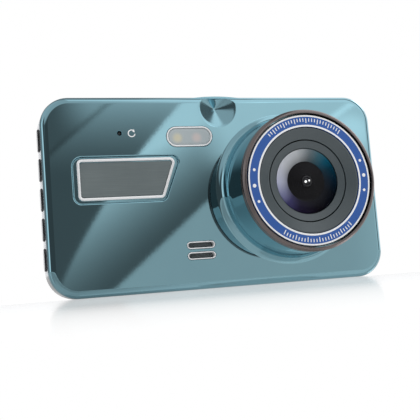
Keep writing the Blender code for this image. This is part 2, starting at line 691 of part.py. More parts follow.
def name_plate():
    """Blank brushed plate in a chrome rim, set in the recess of the front cover."""
    floor = PLATE_RECESS_DEPTH - 0.15
    rim_hole = [(x, z, 1.0) for x, z, _ in grown(PLATE_FACE, 0.1)]
    rim = prism("name_plate_bezel", [rounded(PLATE_RIM), rounded(rim_hole)], (0.05, floor))
    finish(rim, "chrome")
    finish(prism("name_plate", [rounded(PLATE_FACE)], (0.35, floor)), "brushed")


def grown(corners, by):
    """Corners of a four-sided outline, each moved outwards along both axes."""
    middle_u = sum(corner[0] for corner in corners) / len(corners)
    middle_v = sum(corner[1] for corner in corners) / len(corners)
    return [(u + math.copysign(by, u - middle_u), v + math.copysign(by, v - middle_v), radius)
            for u, v, radius in corners]


def speaker_unit():
    """Chrome slot rims, dust mesh, the loudspeaker and its wire."""
    for name, z in SLOT_ZS:
        outer = obround((SLOT_X, z), SLOT_LENGTH, SLOT_HEIGHT)
        inner = obround((SLOT_X, z), SLOT_LENGTH, SLOT_HEIGHT, SLOT_RIM)
        finish(prism(name, [outer, inner], (-0.25, FRONT_WALL)), "chrome")
    middle = (SLOT_ZS[0][1] + SLOT_ZS[1][1]) / 2
    mesh_u = (SLOT_X - 6.0, SLOT_X + 6.0)
    mesh_outline = box_outline(mesh_u, (middle - 4.2, middle + 4.2), 1.0)
    finish(prism("speaker_mesh", [mesh_outline], (2.0, 2.3)), "black_matte")
    profile = ((0.0, -3.3), (5.6, -3.3), (6.4, -2.6), (7.3, -2.6), (7.3, -4.2), (5.0, -4.8), (5.0, -6.4),
               (0.0, -6.4))
    finish(turned("speaker", profile, (SLOT_X, 0.0, middle), 28, closed=False), "black_matte")
    route = ((-3.4, 6.95, middle), (-0.4, 7.0, middle + 0.6),
             (2.6, 7.1, middle + 3.0), (5.4, 7.3, middle + 4.2))
    finish(tube("speaker_lead", route, 0.4), "red_wire")


def reset_unit():
    """Pin behind the reset hole, which slides inwards along Y on to its switch."""
    pin = turned("reset_button", (
        (0.0, -0.5), (0.42, -0.5), (0.42, -2.0), (1.2, -2.0),
        (1.2, -2.6), (0.6, -2.6), (0.6, -6.0), (0.0, -6.0)),
        (RESET_X, 0.0, RESET_Z), 16, closed=False)
    finish(pin, "black_matte")
    back = BOARD_Y[0] - 0.15
    half = 1.6
    switch = slab("reset_switch", (RESET_X - half, RESET_X + half), (back - 1.2, back),
                  (RESET_Z - half, RESET_Z + half))
    join(switch, prism("reset_nub", [circle((RESET_X, RESET_Z), 0.7, 12)], (back - 1.55, back - 1.0)))
    finish(switch, "steel")


def main_board():
    """Main circuit board, held to the frame's corner lugs by four screws."""
    inset = FRAME_WALL + 0.4
    board = body_slab("main_board", BOARD_Y, inset, CORNER - inset)
    key_notch = slab("key_notch", (-WIDTH / 2, -46.9), (7.0, 10.0), (7.7, 50.8))
    socket_notch = slab("socket_notch", (-7.6, 7.6), (7.0, 10.0), (53.9, 60.0))
    cut(board, key_notch, socket_notch)
    for index, (x, z) in enumerate(screw_places()):
        cut(board, prism("board_hole_%d" % (index + 1), [circle((x, z), SCREW_R + GAP, 12)], (7.0, 10.0)))
        head = BOARD_Y[0] - 0.15
        screw = turned("board_screw_%d" % (index + 1), (
            (0.0, -head + 0.7), (1.3, -head + 0.7), (1.4, -head),
            (SCREW_R, -head), (SCREW_R, -10.3), (0.0, -10.3)),
            (x, 0.0, z), 12, closed=False)
        finish(screw, "steel")
    return finish(board, "board_green")


def board_parts():
    """Chips, heat spreader, sockets and microphone on the main board."""
    face = BOARD_Y[0] - 0.15
    finish(slab("processor", (-12.5, -0.5), (face - 1.0, face), (22.5, 34.5)), "chip")
    finish(slab("heat_spreader", (-14.5, 1.5), (face - 1.75, face - 1.15), (20.5, 36.5)), "steel")
    finish(slab("memory_chip", (-9.0, 2.0), (face - 1.0, face), (38.5, 46.5)), "chip")
    usb_v = (PORT_Y[0], PORT_Y[1])
    usb_u = (USB_X - USB_WIDTH / 2, USB_X + USB_WIDTH / 2)
    usb = prism("usb_port", [box_outline(usb_u, usb_v, 0.7)], (49.4, HEIGHT - 0.3), "Z")
    wall = 0.4
    mouth_outline = box_outline((usb_u[0] + wall, usb_u[1] - wall), (usb_v[0] + wall, usb_v[1] - wall), 0.5)
    mouth = prism("usb_mouth", [mouth_outline], (51.0, HEIGHT + 1.0), "Z")
    tongue = slab("usb_tongue", (USB_X - 2.2, USB_X + 2.2), (5.8, 6.6), (50.6, HEIGHT - 1.6))
    cut(usb, mouth)
    join(usb, tongue)
    finish(usb, "steel")
    jack_y = (PORT_Y[0] + PORT_Y[1]) / 2
    jack = slab("av_jack", (JACK_X - 3.0, JACK_X + 3.0), PORT_Y, (46.0, 56.2))
    spout = prism("jack_spout", [circle((JACK_X, jack_y), JACK_R - 0.6)], (55.0, HEIGHT - 0.2), "Z")
    socket = prism("jack_bore", [circle((JACK_X, jack_y), 1.25, 16)], (48.0, HEIGHT + 1.0), "Z")
    join(jack, spout)
    cut(jack, socket)
    finish(jack, "black_matte")
    mic = turned("microphone", ((0.0, 3.9), (1.8, 3.9), (1.8, 1.8), (0.0, 1.8)), (MIC_X, MIC_Y, 0.0), 16,
                 closed=False, along="Z")
    finish(mic, "steel")


def card_unit():
    """Card cage on the main board, and the memory card that slides out through the right side."""
    right = WIDTH / 2 - 0.1
    card_v = (CARD_Z - CARD_WIDTH / 2, CARD_Z + CARD_WIDTH / 2)
    cage_x = (right - CARD_LENGTH - 1.6, WIDTH / 2 - FRAME_WALL - 0.3)
    cage = slab("card_slot", cage_x, (CARD_Y[0] - 0.55, BOARD_Y[0] - 0.15),
                (card_v[0] - 1.3, card_v[1] + 1.3))
    room = slab("card_room", (cage_x[0] + 0.5, cage_x[1] + 1.0), (CARD_Y[0] - 0.15, CARD_Y[1] + 0.15),
                (card_v[0] - 0.2, card_v[1] + 0.2))
    cut(cage, room)
    finish(cage, "steel")
    card = slab("memory_card", (right - CARD_LENGTH, right), CARD_Y, card_v, corner=0.4)
    finish(card, "card")


def battery_unit():
    """Flat cell behind the name plate, and its wire."""
    finish(slab("battery", (-44.5, -15.5), (2.1, 6.2), (18.0, 40.0)), "foil")
    route = ((-15.1, 4.2, 36.5), (-13.6, 4.4, 37.2), (-12.4, 5.8, 38.6), (-11.6, 7.0, 40.2),
             (-11.2, 7.4, 42.0))
    finish(tube("battery_lead", route, 0.4), "red_wire")


clear_scene()
PARTS, CUTTERS, ROOT = make_collections()
front_cover()
middle_frame()
rear_cover()
display()
mount_socket()
lens_front()
lens_seal()
lens_barrel()
lens_elements()
lens_holder()
sensor_unit()
fill_light()
name_plate()
speaker_unit()
reset_unit()
side_keys()
button_board()
main_board()
board_parts()
card_unit()
battery_unit()
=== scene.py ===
"""Looks of the dash camera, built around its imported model.

Shapes are written in millimetres in the camera body's own frame: x from the middle of the body,
y from the front face towards the screen, z up from the bottom edge. A turned optical piece is
written as (radius, height above the front face).
"""

import json
import math

import bmesh
import bpy
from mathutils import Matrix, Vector


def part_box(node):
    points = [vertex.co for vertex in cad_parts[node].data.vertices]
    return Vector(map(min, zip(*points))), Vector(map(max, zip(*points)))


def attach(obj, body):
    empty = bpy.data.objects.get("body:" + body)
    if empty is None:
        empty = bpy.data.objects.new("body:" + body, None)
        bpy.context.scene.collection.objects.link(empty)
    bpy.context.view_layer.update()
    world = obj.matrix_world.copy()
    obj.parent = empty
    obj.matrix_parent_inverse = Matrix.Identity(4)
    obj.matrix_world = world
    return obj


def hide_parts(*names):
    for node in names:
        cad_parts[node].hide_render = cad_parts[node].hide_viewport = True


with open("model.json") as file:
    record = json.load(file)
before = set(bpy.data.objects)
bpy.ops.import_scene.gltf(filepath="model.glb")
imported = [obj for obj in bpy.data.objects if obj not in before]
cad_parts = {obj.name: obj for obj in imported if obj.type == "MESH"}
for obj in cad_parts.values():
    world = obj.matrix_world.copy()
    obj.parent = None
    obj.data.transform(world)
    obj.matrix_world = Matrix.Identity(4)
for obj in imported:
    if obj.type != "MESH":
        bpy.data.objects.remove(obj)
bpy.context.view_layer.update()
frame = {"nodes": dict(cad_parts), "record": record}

MM = 0.001
HOUSING = "housing"

# The body's frame inside the model's frame
COVER_LOW, COVER_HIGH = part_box("front_cover")
TUBE_PROUD = 14.8
ORIGIN = Vector(((COVER_LOW.x + COVER_HIGH.x) / 2, COVER_LOW.y + TUBE_PROUD * MM, 0.0))

# Body outline, and how far back its shells reach
HALF_WIDTH = 53.0
HEIGHT = 58.6
CORNER = 8.5
EDGE_ROUND = 2.2
CORNER_STEPS = 20
COVER_BACK = 3.5
BAND_FRONT, BAND_BACK = 3.7, 10.5
REAR_FRONT, REAR_EDGE = 10.7, 12.4

# Lens axis
LENS_X = 21.6
LENS_Z = 29.1
LENS_AXIS = (LENS_X, LENS_Z)
TURN_STEPS = 192

# Parts on the face: outlines are (x, z, corner radius)
PLATE_RECESS = ((-45.0, 26.5, 2.6), (-17.25, 26.5, 2.6), (-11.3, 41.0, 2.4), (-45.0, 41.0, 3.2))
PLATE_RIM = ((-43.3, 27.8, 1.5), (-17.9, 27.8, 1.5), (-13.3, 40.0, 1.6), (-43.3, 40.0, 1.5))
PLATE_FACE = ((-42.4, 28.8, 0.8), (-18.6, 28.8, 0.8), (-14.7, 38.9, 0.8), (-42.4, 38.9, 0.8))
LIGHT_CENTRE = (-8.9, 46.1)
LIGHT_SIZE = (14.3, 6.1)
LED_XS = (-12.7, -6.7)
LED_Z = 45.7
SLOT_CENTRES = ((-7.9, 13.15), (-7.9, 10.0))
SLOT_SIZE = (8.7, 2.2)
RESET = (-30.2, 47.45)
SCOOP = (0.6, 55.0)
SCOOP_R = 5.5
SCOOP_DEPTH = 2.6
SCOOP_ROOF = 57.9
KEY_ZS = {"power": 47.0, "menu": 38.225, "up": 29.45, "ok": 20.675, "down": 11.9}
KEY_Y = 7.1

# Camera: its place from the body's origin, its turn in degrees and its lens
CAMERA_AT = (-72.69, -216.0, 0.49)
CAMERA_TURN = (95.8112, 4.5598, -17.1091)
CAMERA_LENS = 64.82

# Where the studio's pattern was laid out from (x, z), half a millimetre beside the camera
LAID_OUT_FROM = (-72.2, 0.5)


# ---------------------------------------------------------------- outlines and meshes

def path(corners, closed=True, steps=8):
    """A line through corners (a, b, radius), each one rounded whichever way it turns."""
    count = len(corners)
    points = []
    for index, (a, b, radius) in enumerate(corners):
        ends = not closed and index in (0, count - 1)
        if ends or radius <= 0.0:
            points.append((a, b))
            continue
        corner = Vector((a, b))
        back = Vector(corners[index - 1][:2]) - corner
        ahead = Vector(corners[(index + 1) % count][:2]) - corner
        turn = math.pi - back.angle(ahead)
        reach = min(radius * math.tan(turn / 2), 0.499 * back.length, 0.499 * ahead.length)
        back.normalize()
        ahead.normalize()
        middle = (back + ahead).normalized()
        size = reach / math.tan(turn / 2)
        centre = corner + middle * (size / math.cos(turn / 2))
        first = corner + back * reach - centre
        last = corner + ahead * reach - centre
        start = math.atan2(first.y, first.x)
        sweep = (math.atan2(last.y, last.x) - start + math.pi) % math.tau - math.pi
        for step in range(steps + 1):
            angle = start + sweep * step / steps
            points.append((centre.x + size * math.cos(angle), centre.y + size * math.sin(angle)))
    return points


def inset(corners, by):
    """The corners of a convex outline in anticlockwise order, moved inwards."""
    moved = []
    for index, (a, b, radius) in enumerate(corners):
        corner = Vector((a, b))
        into = (corner - Vector(corners[index - 1][:2])).normalized()
        out = (Vector(corners[(index + 1) % len(corners)][:2]) - corner).normalized()
        left_in = Vector((-into.y, into.x))
        left_out = Vector((-out.y, out.x))
        corner = corner + (left_in + left_out) * (by / (1.0 + left_in.dot(left_out)))
        moved.append((corner.x, corner.y, max(radius - by, 0.03)))
    return moved


def box_corners(centre, size, radius):
    """The corners of a rounded box."""
    u, v = centre
    half_u, half_v = size[0] / 2, size[1] / 2
    return [(u - half_u, v - half_v, radius), (u + half_u, v - half_v, radius),
            (u + half_u, v + half_v, radius), (u - half_u, v + half_v, radius)]


def obround(centre, size):
    """A slot shape: a box whose short sides are half circles."""
    return box_corners(centre, size, 0.4999 * min(size))


BODY = box_corners((0.0, HEIGHT / 2), (2 * HALF_WIDTH, HEIGHT), CORNER)


def new_mesh(name, rings, closed, caps):
    """Skin a row of rings of points in millimetres. A ring of one point closes to a tip."""
    mesh = bmesh.new()
    rows = [[mesh.verts.new(ORIGIN + Vector(point) * MM) for point in ring] for ring in rings]
    pairs = list(zip(rows, rows[1:]))
    if closed:
        pairs.append((rows[-1], rows[0]))
    for low, high in pairs:
        count = max(len(low), len(high))
        for index in range(count if count > 1 else 0):
            after = (index + 1) % count
            if len(low) == 1:
                mesh.faces.new((low[0], high[after], high[index]))
            elif len(high) == 1:
                mesh.faces.new((low[index], low[after], high[0]))
            else:
                mesh.faces.new((low[index], low[after], high[after], high[index]))
    if caps and not closed:
        for row in (rows[0], rows[-1]):
            if len(row) > 2:
                mesh.faces.new(row)
    bmesh.ops.remove_doubles(mesh, verts=mesh.verts, dist=1e-8)
    bmesh.ops.recalc_face_normals(mesh, faces=mesh.faces)
    if mesh.calc_volume(signed=True) < 0.0:
        bmesh.ops.reverse_faces(mesh, faces=mesh.faces)
    data = bpy.data.meshes.new(name)
    mesh.to_mesh(data)
    mesh.free()
    item = bpy.data.objects.new(name, data)
    bpy.context.scene.collection.objects.link(item)
    return item


PLACE = {
    "X": lambda u, v, height: (height, u, v),
    "Y": lambda u, v, height: (u, height, v),
    "Z": lambda u, v, height: (u, v, height),
}


def loft(name, corners, levels, closed=False, along="Y", steps=CORNER_STEPS):
    """An outline skinned through levels (inset, place along the axis)."""
    rings = [[PLACE[along](u, v, height) for u, v in path(inset(corners, by), steps=steps)]
             for by, height in levels]
    return new_mesh(name, rings, closed, caps=True)


def turned(name, profile, centre=LENS_AXIS, closed=True, steps=TURN_STEPS):
    """A profile (radius, height out of the front face) turned about an axis along Y."""
    rings = []
    for radius, height in profile:
        if radius < 1e-6:
            rings.append([(centre[0], -height, centre[1])])
            continue
        rings.append([(centre[0] + radius * math.cos(math.tau * step / steps), -height,
                       centre[1] + radius * math.sin(math.tau * step / steps))
                      for step in range(steps)])
    return new_mesh(name, rings, closed, caps=False)


def slab(name, outline, low, high):
    """A flat outline (x, z) made solid between two heights out of the front face."""
    rings = [[(x, -height, z) for x, z in outline] for height in (low, high)]
    return new_mesh(name, rings, closed=False, caps=True)


def quarter(steps, start=0.0):
    """Angles in even steps up to a quarter turn, from a share of it."""
    return [math.pi / 2 * (start + (1.0 - start) * step / steps) for step in range(steps + 1)]


def polar(centre, radius, degrees):
    """A point on a circle seen from the front."""
    angle = math.radians(degrees)
    return centre[0] + radius * math.cos(angle), centre[1] + radius * math.sin(angle)


def combine(item, *others, operation="DIFFERENCE"):
    """Cut or join other shapes, which are used up."""
    for other in others:
        boolean = item.modifiers.new(other.name, "BOOLEAN")
        boolean.operation = operation
        boolean.solver = "MANIFOLD"
        boolean.object = other
    bpy.context.view_layer.update()
    shape = bpy.data.meshes.new_from_object(item.evaluated_get(bpy.context.evaluated_depsgraph_get()))
    item.modifiers.clear()
    item.data = shape
    for other in others:
        bpy.data.objects.remove(other, do_unlink=True)
    return item


def gather(name, *items):
    """Several shapes as one object."""
    mesh = bmesh.new()
    for item in items:
        mesh.from_mesh(item.data)
        bpy.data.objects.remove(item, do_unlink=True)
    data = bpy.data.meshes.new(name)
    mesh.to_mesh(data)
    mesh.free()
    whole = bpy.data.objects.new(name, data)
    bpy.context.scene.collection.objects.link(whole)
    return whole


def piece(item, slot, body=HOUSING, node=None, look=None, sharp=35.0):
    """Finish a piece: its shading, its material, its slot, its body and the CAD node it stands for."""
    item.data.shade_smooth()
    item.data.set_sharp_from_angle(angle=math.radians(sharp))
    even = item.modifiers.new("even_shading", "WEIGHTED_NORMAL")
    even.keep_sharp = True
    even.weight = 60
    item.data.materials.clear()
    item.data.materials.append(LOOKS[look or slot])
    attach(item, body)
    if node:
        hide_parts(node)
    return item


# ---------------------------------------------------------------- materials

class Tree:
    """Short calls that add and join the nodes of one tree."""

    def __init__(self, owner):
        owner.use_nodes = True
        self.nodes = owner.node_tree.nodes
        self.links = owner.node_tree.links

    def put(self, socket, value):
        """Joins an output to a socket, or sets the socket to a value."""
        if isinstance(value, bpy.types.NodeSocket):
            self.links.new(value, socket)
        else:
            socket.default_value = value

    def add(self, kind, inputs=(), **settings):
        """A new node with its settings, and its inputs by name or number."""
        node = self.nodes.new("ShaderNode" + kind)
        for key, value in settings.items():
            setattr(node, key, value)
        for key, value in dict(inputs).items():
            self.put(node.inputs[key], value)
        return node

    def math(self, operation, *values):
        node = self.add("Math", operation=operation)
        for socket, value in zip(node.inputs, values):
            self.put(socket, value)
        return node.outputs[0]

    def step(self, value, low, high, at_low=0.0, at_high=1.0):
        """Goes smoothly from one value to another between two limits."""
        return self.add("MapRange", {"Value": value, "From Min": low, "From Max": high, "To Min": at_low,
                                     "To Max": at_high}, interpolation_type="SMOOTHSTEP").outputs["Result"]

    def scale(self, value, low, high, at_low, at_high):
        """Goes straight from one value to another between two limits."""
        return self.add("MapRange", {"Value": value, "From Min": low, "From Max": high, "To Min": at_low,
                                     "To Max": at_high}).outputs["Result"]

    def mix(self, share, low, high):
        """Number mix."""
        node = self.add("Mix", {0: share, 2: low, 3: high})
        return node.outputs[0]

    def tint(self, share, low, high):
        """Colour mix."""
        node = self.add("Mix", data_type="RGBA")
        self.put(node.inputs[0], share)
        self.put(node.inputs[6], low)
        self.put(node.inputs[7], high)
        return node.outputs[2]

    def body_place(self, centre=(0.0, 0.0, 0.0)):
        """The place on the object in millimetres in the body's frame, from a centre."""
        start = self.add("TexCoord").outputs["Object"]
        middle = ORIGIN + Vector(centre) * MM
        moved = self.add("VectorMath", {0: start, 1: middle}, operation="SUBTRACT").outputs[0]
        return self.add("VectorMath", {0: moved, "Scale": 1000.0}, operation="SCALE").outputs[0]

    def split(self, vector):
        return self.add("SeparateXYZ", {0: vector}).outputs[:]

    def distance(self, place, centre=(0.0, 0.0)):
        """Distance from a point (x, z), seen from the front."""
        x, _, z = self.split(place)
        across = self.math("SUBTRACT", x, centre[0])
        up = self.math("SUBTRACT", z, centre[1])
        squares = [self.math("MULTIPLY", side, side) for side in (across, up)]
        return self.math("SQRT", self.math("ADD", *squares))

    def noise(self, vector, scale, detail=2.0, roughness=0.5):
        return self.add("TexNoise", {"Vector": vector, "Scale": scale, "Detail": detail,
                                     "Roughness": roughness}).outputs["Fac"]


def rgba(colour):
    return (*colour, 1.0)


def surface(name, colour, other, rough, metallic=0.0, grain=2.0, stretch=(1.0, 1.0, 1.0), bump=0.0,
            coat=0.0, rough_spread=0.08, centre=(0.0, 0.0, 0.0), **sockets):
    """A finish whose colour drifts between two tones, with grain in its roughness and relief."""
    material = bpy.data.materials.new(name)
    tree = Tree(material)
    shader = tree.nodes["Principled BSDF"]
    place = tree.body_place(centre)
    drawn = tree.add("VectorMath", {0: place, 1: stretch}, operation="MULTIPLY").outputs[0]
    fine = tree.noise(drawn, grain, 3.0)
    broad = tree.noise(place, 0.09, 2.0)
    blend = tree.math("ADD", tree.math("MULTIPLY", fine, 0.55), tree.math("MULTIPLY", broad, 0.45))
    drift = tree.tint(tree.step(blend, 0.32, 0.68), rgba(colour), rgba(other))
    tree.put(shader.inputs["Base Color"], drift)
    tree.put(shader.inputs["Roughness"], tree.scale(fine, 0.25, 0.75, max(rough - rough_spread, 0.02),
                                                    rough + rough_spread))
    shader.inputs["Metallic"].default_value = metallic
    if coat:
        shader.inputs["Coat Weight"].default_value = coat
        shader.inputs["Coat Roughness"].default_value = 0.04
    for key, value in sockets.items():
        shader.inputs[key.replace("_", " ").title().replace("Ior", "IOR")].default_value = value
    if bump:
        relief = tree.add("Bump", {"Height": fine, "Strength": bump, "Distance": 0.00005})
        tree.put(shader.inputs["Normal"], relief.outputs["Normal"])
    return material, tree, shader, place


def plain(*args, **settings):
    """A surface's material alone."""
    return surface(*args, **settings)[0]


def paint():
    """Metallic blue-green lacquer with fine flakes under a clear coat."""
    material, tree, shader, place = surface(
        "blue_green_lacquer", (0.290, 0.520, 0.600), (0.305, 0.545, 0.620), 0.028, metallic=1.0, grain=9.0,
        rough_spread=0.004)
    shader.inputs["Coat Weight"].default_value = 0.35
    shader.inputs["Coat Roughness"].default_value = 0.03
    # The scoop is duller than the face
    smooth = shader.inputs["Roughness"].links[0].from_socket
    in_scoop = tree.step(tree.distance(place, SCOOP), SCOOP_R + 0.1, SCOOP_R + 1.1, 1.0, 0.0)
    tree.put(shader.inputs["Roughness"], tree.mix(in_scoop, smooth, 0.15))
    flakes = tree.add("TexVoronoi", {"Vector": place, "Scale": 14.0}, feature="F1").outputs["Color"]
    lean = tree.add("VectorMath", {0: flakes, 1: (0.5, 0.5, 0.5)}, operation="SUBTRACT").outputs[0]
    small = tree.add("VectorMath", {0: lean, "Scale": 0.003}, operation="SCALE").outputs[0]
    normal = tree.add("NewGeometry").outputs["Normal"]
    leaning = tree.add("VectorMath", {0: normal, 1: small}, operation="ADD").outputs[0]
    tree.put(shader.inputs["Normal"],
             tree.add("VectorMath", {0: leaning}, operation="NORMALIZE").outputs[0])
    return material


def plate_metal():
    """Brushed grey plate."""
    return plain("brushed_grey", (0.118, 0.145, 0.150), (0.150, 0.180, 0.183), 0.38, grain=1.2,
                 stretch=(0.12, 1.0, 9.0), bump=0.25, specular_ior_level=0.4)


def window_frost():
    """Frosted window with the two lamps showing softly through it."""
    material, tree, shader, place = surface(
        "frosted_window", (0.400, 0.450, 0.470), (0.430, 0.485, 0.500), 0.38, grain=5.0, bump=0.15)
    colour = shader.inputs["Base Color"].links[0].from_socket
    for led_x, glow in zip(LED_XS, ((0.62, 0.58, 0.42), (0.60, 0.52, 0.50))):
        share = tree.step(tree.distance(place, (led_x, LED_Z)), 0.5, 2.1, 0.85, 0.0)
        colour = tree.tint(share, colour, rgba(glow))
    tree.put(shader.inputs["Base Color"], colour)
    return material


def ring_print():
    """Printed blue of the label ring."""
    return plain("printed_blue", (0.030, 0.100, 0.350), (0.038, 0.115, 0.395), 0.42, grain=6.0,
                 specular_ior_level=0.25)


def painted_lens_reflection():
    """Coated inner face of the front element, its colour a painted reflection tinted by the coating: pale
    above left, blue-green right, violet below left.
    """
    material = bpy.data.materials.new("coated_glass_painted_reflection")
    tree = Tree(material)
    shader = tree.nodes["Principled BSDF"]
    place = tree.body_place((LENS_X, 0.0, LENS_Z))
    x, _, z = tree.split(place)
    angle = tree.math("ARCTAN2", z, x)
    turn = tree.math("FRACT", tree.math("DIVIDE", tree.math("ADD", angle, math.tau), math.tau))
    ramp = tree.add("ValToRGB", {"Fac": turn})
    # Painted reflection tones round the glass, by share of a turn that starts on the right and runs over
    # the top
    tones = ((0.00, (0.001, 0.012, 0.026)), (0.07, (0.001, 0.034, 0.060)), (0.115, (0.004, 0.090, 0.150)),
             (0.165, (0.050, 0.140, 0.180)), (0.22, (0.160, 0.195, 0.210)), (0.30, (0.560, 0.580, 0.600)),
             (0.40, (0.620, 0.640, 0.680)), (0.50, (0.520, 0.540, 0.680)), (0.56, (0.260, 0.270, 0.430)),
             (0.62, (0.060, 0.055, 0.150)), (0.69, (0.014, 0.010, 0.030)), (0.80, (0.004, 0.003, 0.006)),
             (0.93, (0.001, 0.003, 0.007)), (1.00, (0.001, 0.012, 0.026)))
    band = ramp.color_ramp
    band.elements[0].color = rgba(tones[0][1])
    band.elements[1].color = rgba(tones[-1][1])
    for spot, colour in tones[1:-1]:
        band.elements.new(spot).color = rgba(colour)
    # Painted shade: the reflection darkens towards the glass's inner edge
    rim = tree.step(tree.distance(place), 5.6, 9.4, 0.62, 0.0)
    shaded = tree.tint(rim, ramp.outputs["Color"], rgba((0.020, 0.021, 0.024)))
    tree.put(shader.inputs["Base Color"], shaded)
    tree.put(shader.inputs["Roughness"], tree.scale(tree.noise(place, 3.0), 0.3, 0.7, 0.28, 0.36))
    shader.inputs["Specular IOR Level"].default_value = 0.02
    return material


def eye_glass_painted_glints():
    """Dark coated inner lens with two painted glints across it: soft emission spots that stand in for
    highlights.
    """
    material, tree, shader, place = surface(
        "dark_coated_glass_painted_glints", (0.010, 0.010, 0.014), (0.014, 0.013, 0.018), 0.06, grain=1.0,
        rough_spread=0.01, centre=(LENS_X, 0.0, LENS_Z))
    glow = 0.0
    # Painted glints: two soft glowing spots fixed on the lens in place of highlights
    for glint, size in (((-0.45, -0.15), 0.42), ((0.75, 0.15), 0.36)):
        glow = tree.math("ADD", glow, tree.step(tree.distance(place, glint), 0.55 * size, size, 1.6, 0.0))
    shader.inputs["Emission Color"].default_value = rgba((1.0, 1.0, 1.0))
    tree.put(shader.inputs["Emission Strength"], glow)
    return material


def clear_glass():
    """A thin clear surface that reflects more towards its edge."""
    material = bpy.data.materials.new("clear_glass")
    tree = Tree(material)
    tree.nodes.remove(tree.nodes["Principled BSDF"])
    place = tree.body_place()
    fresnel = tree.add("LayerWeight", {"Blend": 0.06}).outputs["Fresnel"]
    veil = tree.scale(tree.noise(place, 1.5), 0.0, 1.0, 0.93, 1.0)
    through = tree.add("BsdfTransparent", {"Color": rgba((0.98, 0.985, 0.99))})
    shine = tree.add("BsdfGlossy", {"Roughness": 0.02, "Color": rgba((0.85, 0.90, 1.0))})
    both = tree.add("MixShader", {0: tree.math("MULTIPLY", fresnel, veil), 1: through.outputs[0],
                                  2: shine.outputs[0]})
    tree.put(tree.nodes["Material Output"].inputs["Surface"], both.outputs[0])
    return material


def screen():
    """Black cover glass with the slightly lighter field of the display behind it."""
    material, tree, shader, place = surface(
        "black_glass", (0.006, 0.006, 0.007), (0.008, 0.008, 0.010), 0.05, grain=0.8, rough_spread=0.01)
    x, _, z = tree.split(place)
    across = tree.math("ABSOLUTE", x)
    up = tree.math("ABSOLUTE", tree.math("SUBTRACT", z, HEIGHT / 2))
    field = tree.math("MULTIPLY", tree.step(across, 44.4, 44.6, 1.0, 0.0),
                      tree.step(up, 24.2, 24.4, 1.0, 0.0))
    base = shader.inputs["Base Color"].links[0].from_socket
    tree.put(shader.inputs["Base Color"], tree.tint(field, base, rgba((0.016, 0.018, 0.024))))
    return material


def circuit():
    """Green solder mask with pale copper tracks under it."""
    material, tree, shader, place = surface(
        "solder_mask", (0.010, 0.110, 0.045), (0.014, 0.135, 0.060), 0.34, grain=1.0)
    cells = tree.add("TexBrick", {"Vector": place, "Scale": 0.9, "Mortar Size": 0.06}).outputs["Fac"]
    base = shader.inputs["Base Color"].links[0].from_socket
    tree.put(shader.inputs["Base Color"], tree.tint(tree.math("MULTIPLY", cells, 0.6), base,
                                                    rgba((0.10, 0.30, 0.12))))
    return material


def dust_mesh():
    """Woven black cloth behind the speaker slots."""
    material, tree, shader, place = surface(
        "speaker_weave", (0.100, 0.120, 0.125), (0.140, 0.160, 0.170), 0.6, grain=3.0)
    x, _, z = tree.split(place)
    weave = tree.math("MULTIPLY", tree.math("SINE", tree.math("MULTIPLY", x, 14.0)),
                      tree.math("SINE", tree.math("MULTIPLY", z, 14.0)))
    relief = tree.add("Bump", {"Height": weave, "Strength": 0.6, "Distance": 0.0001})
    tree.put(shader.inputs["Normal"], relief.outputs["Normal"])
    return material


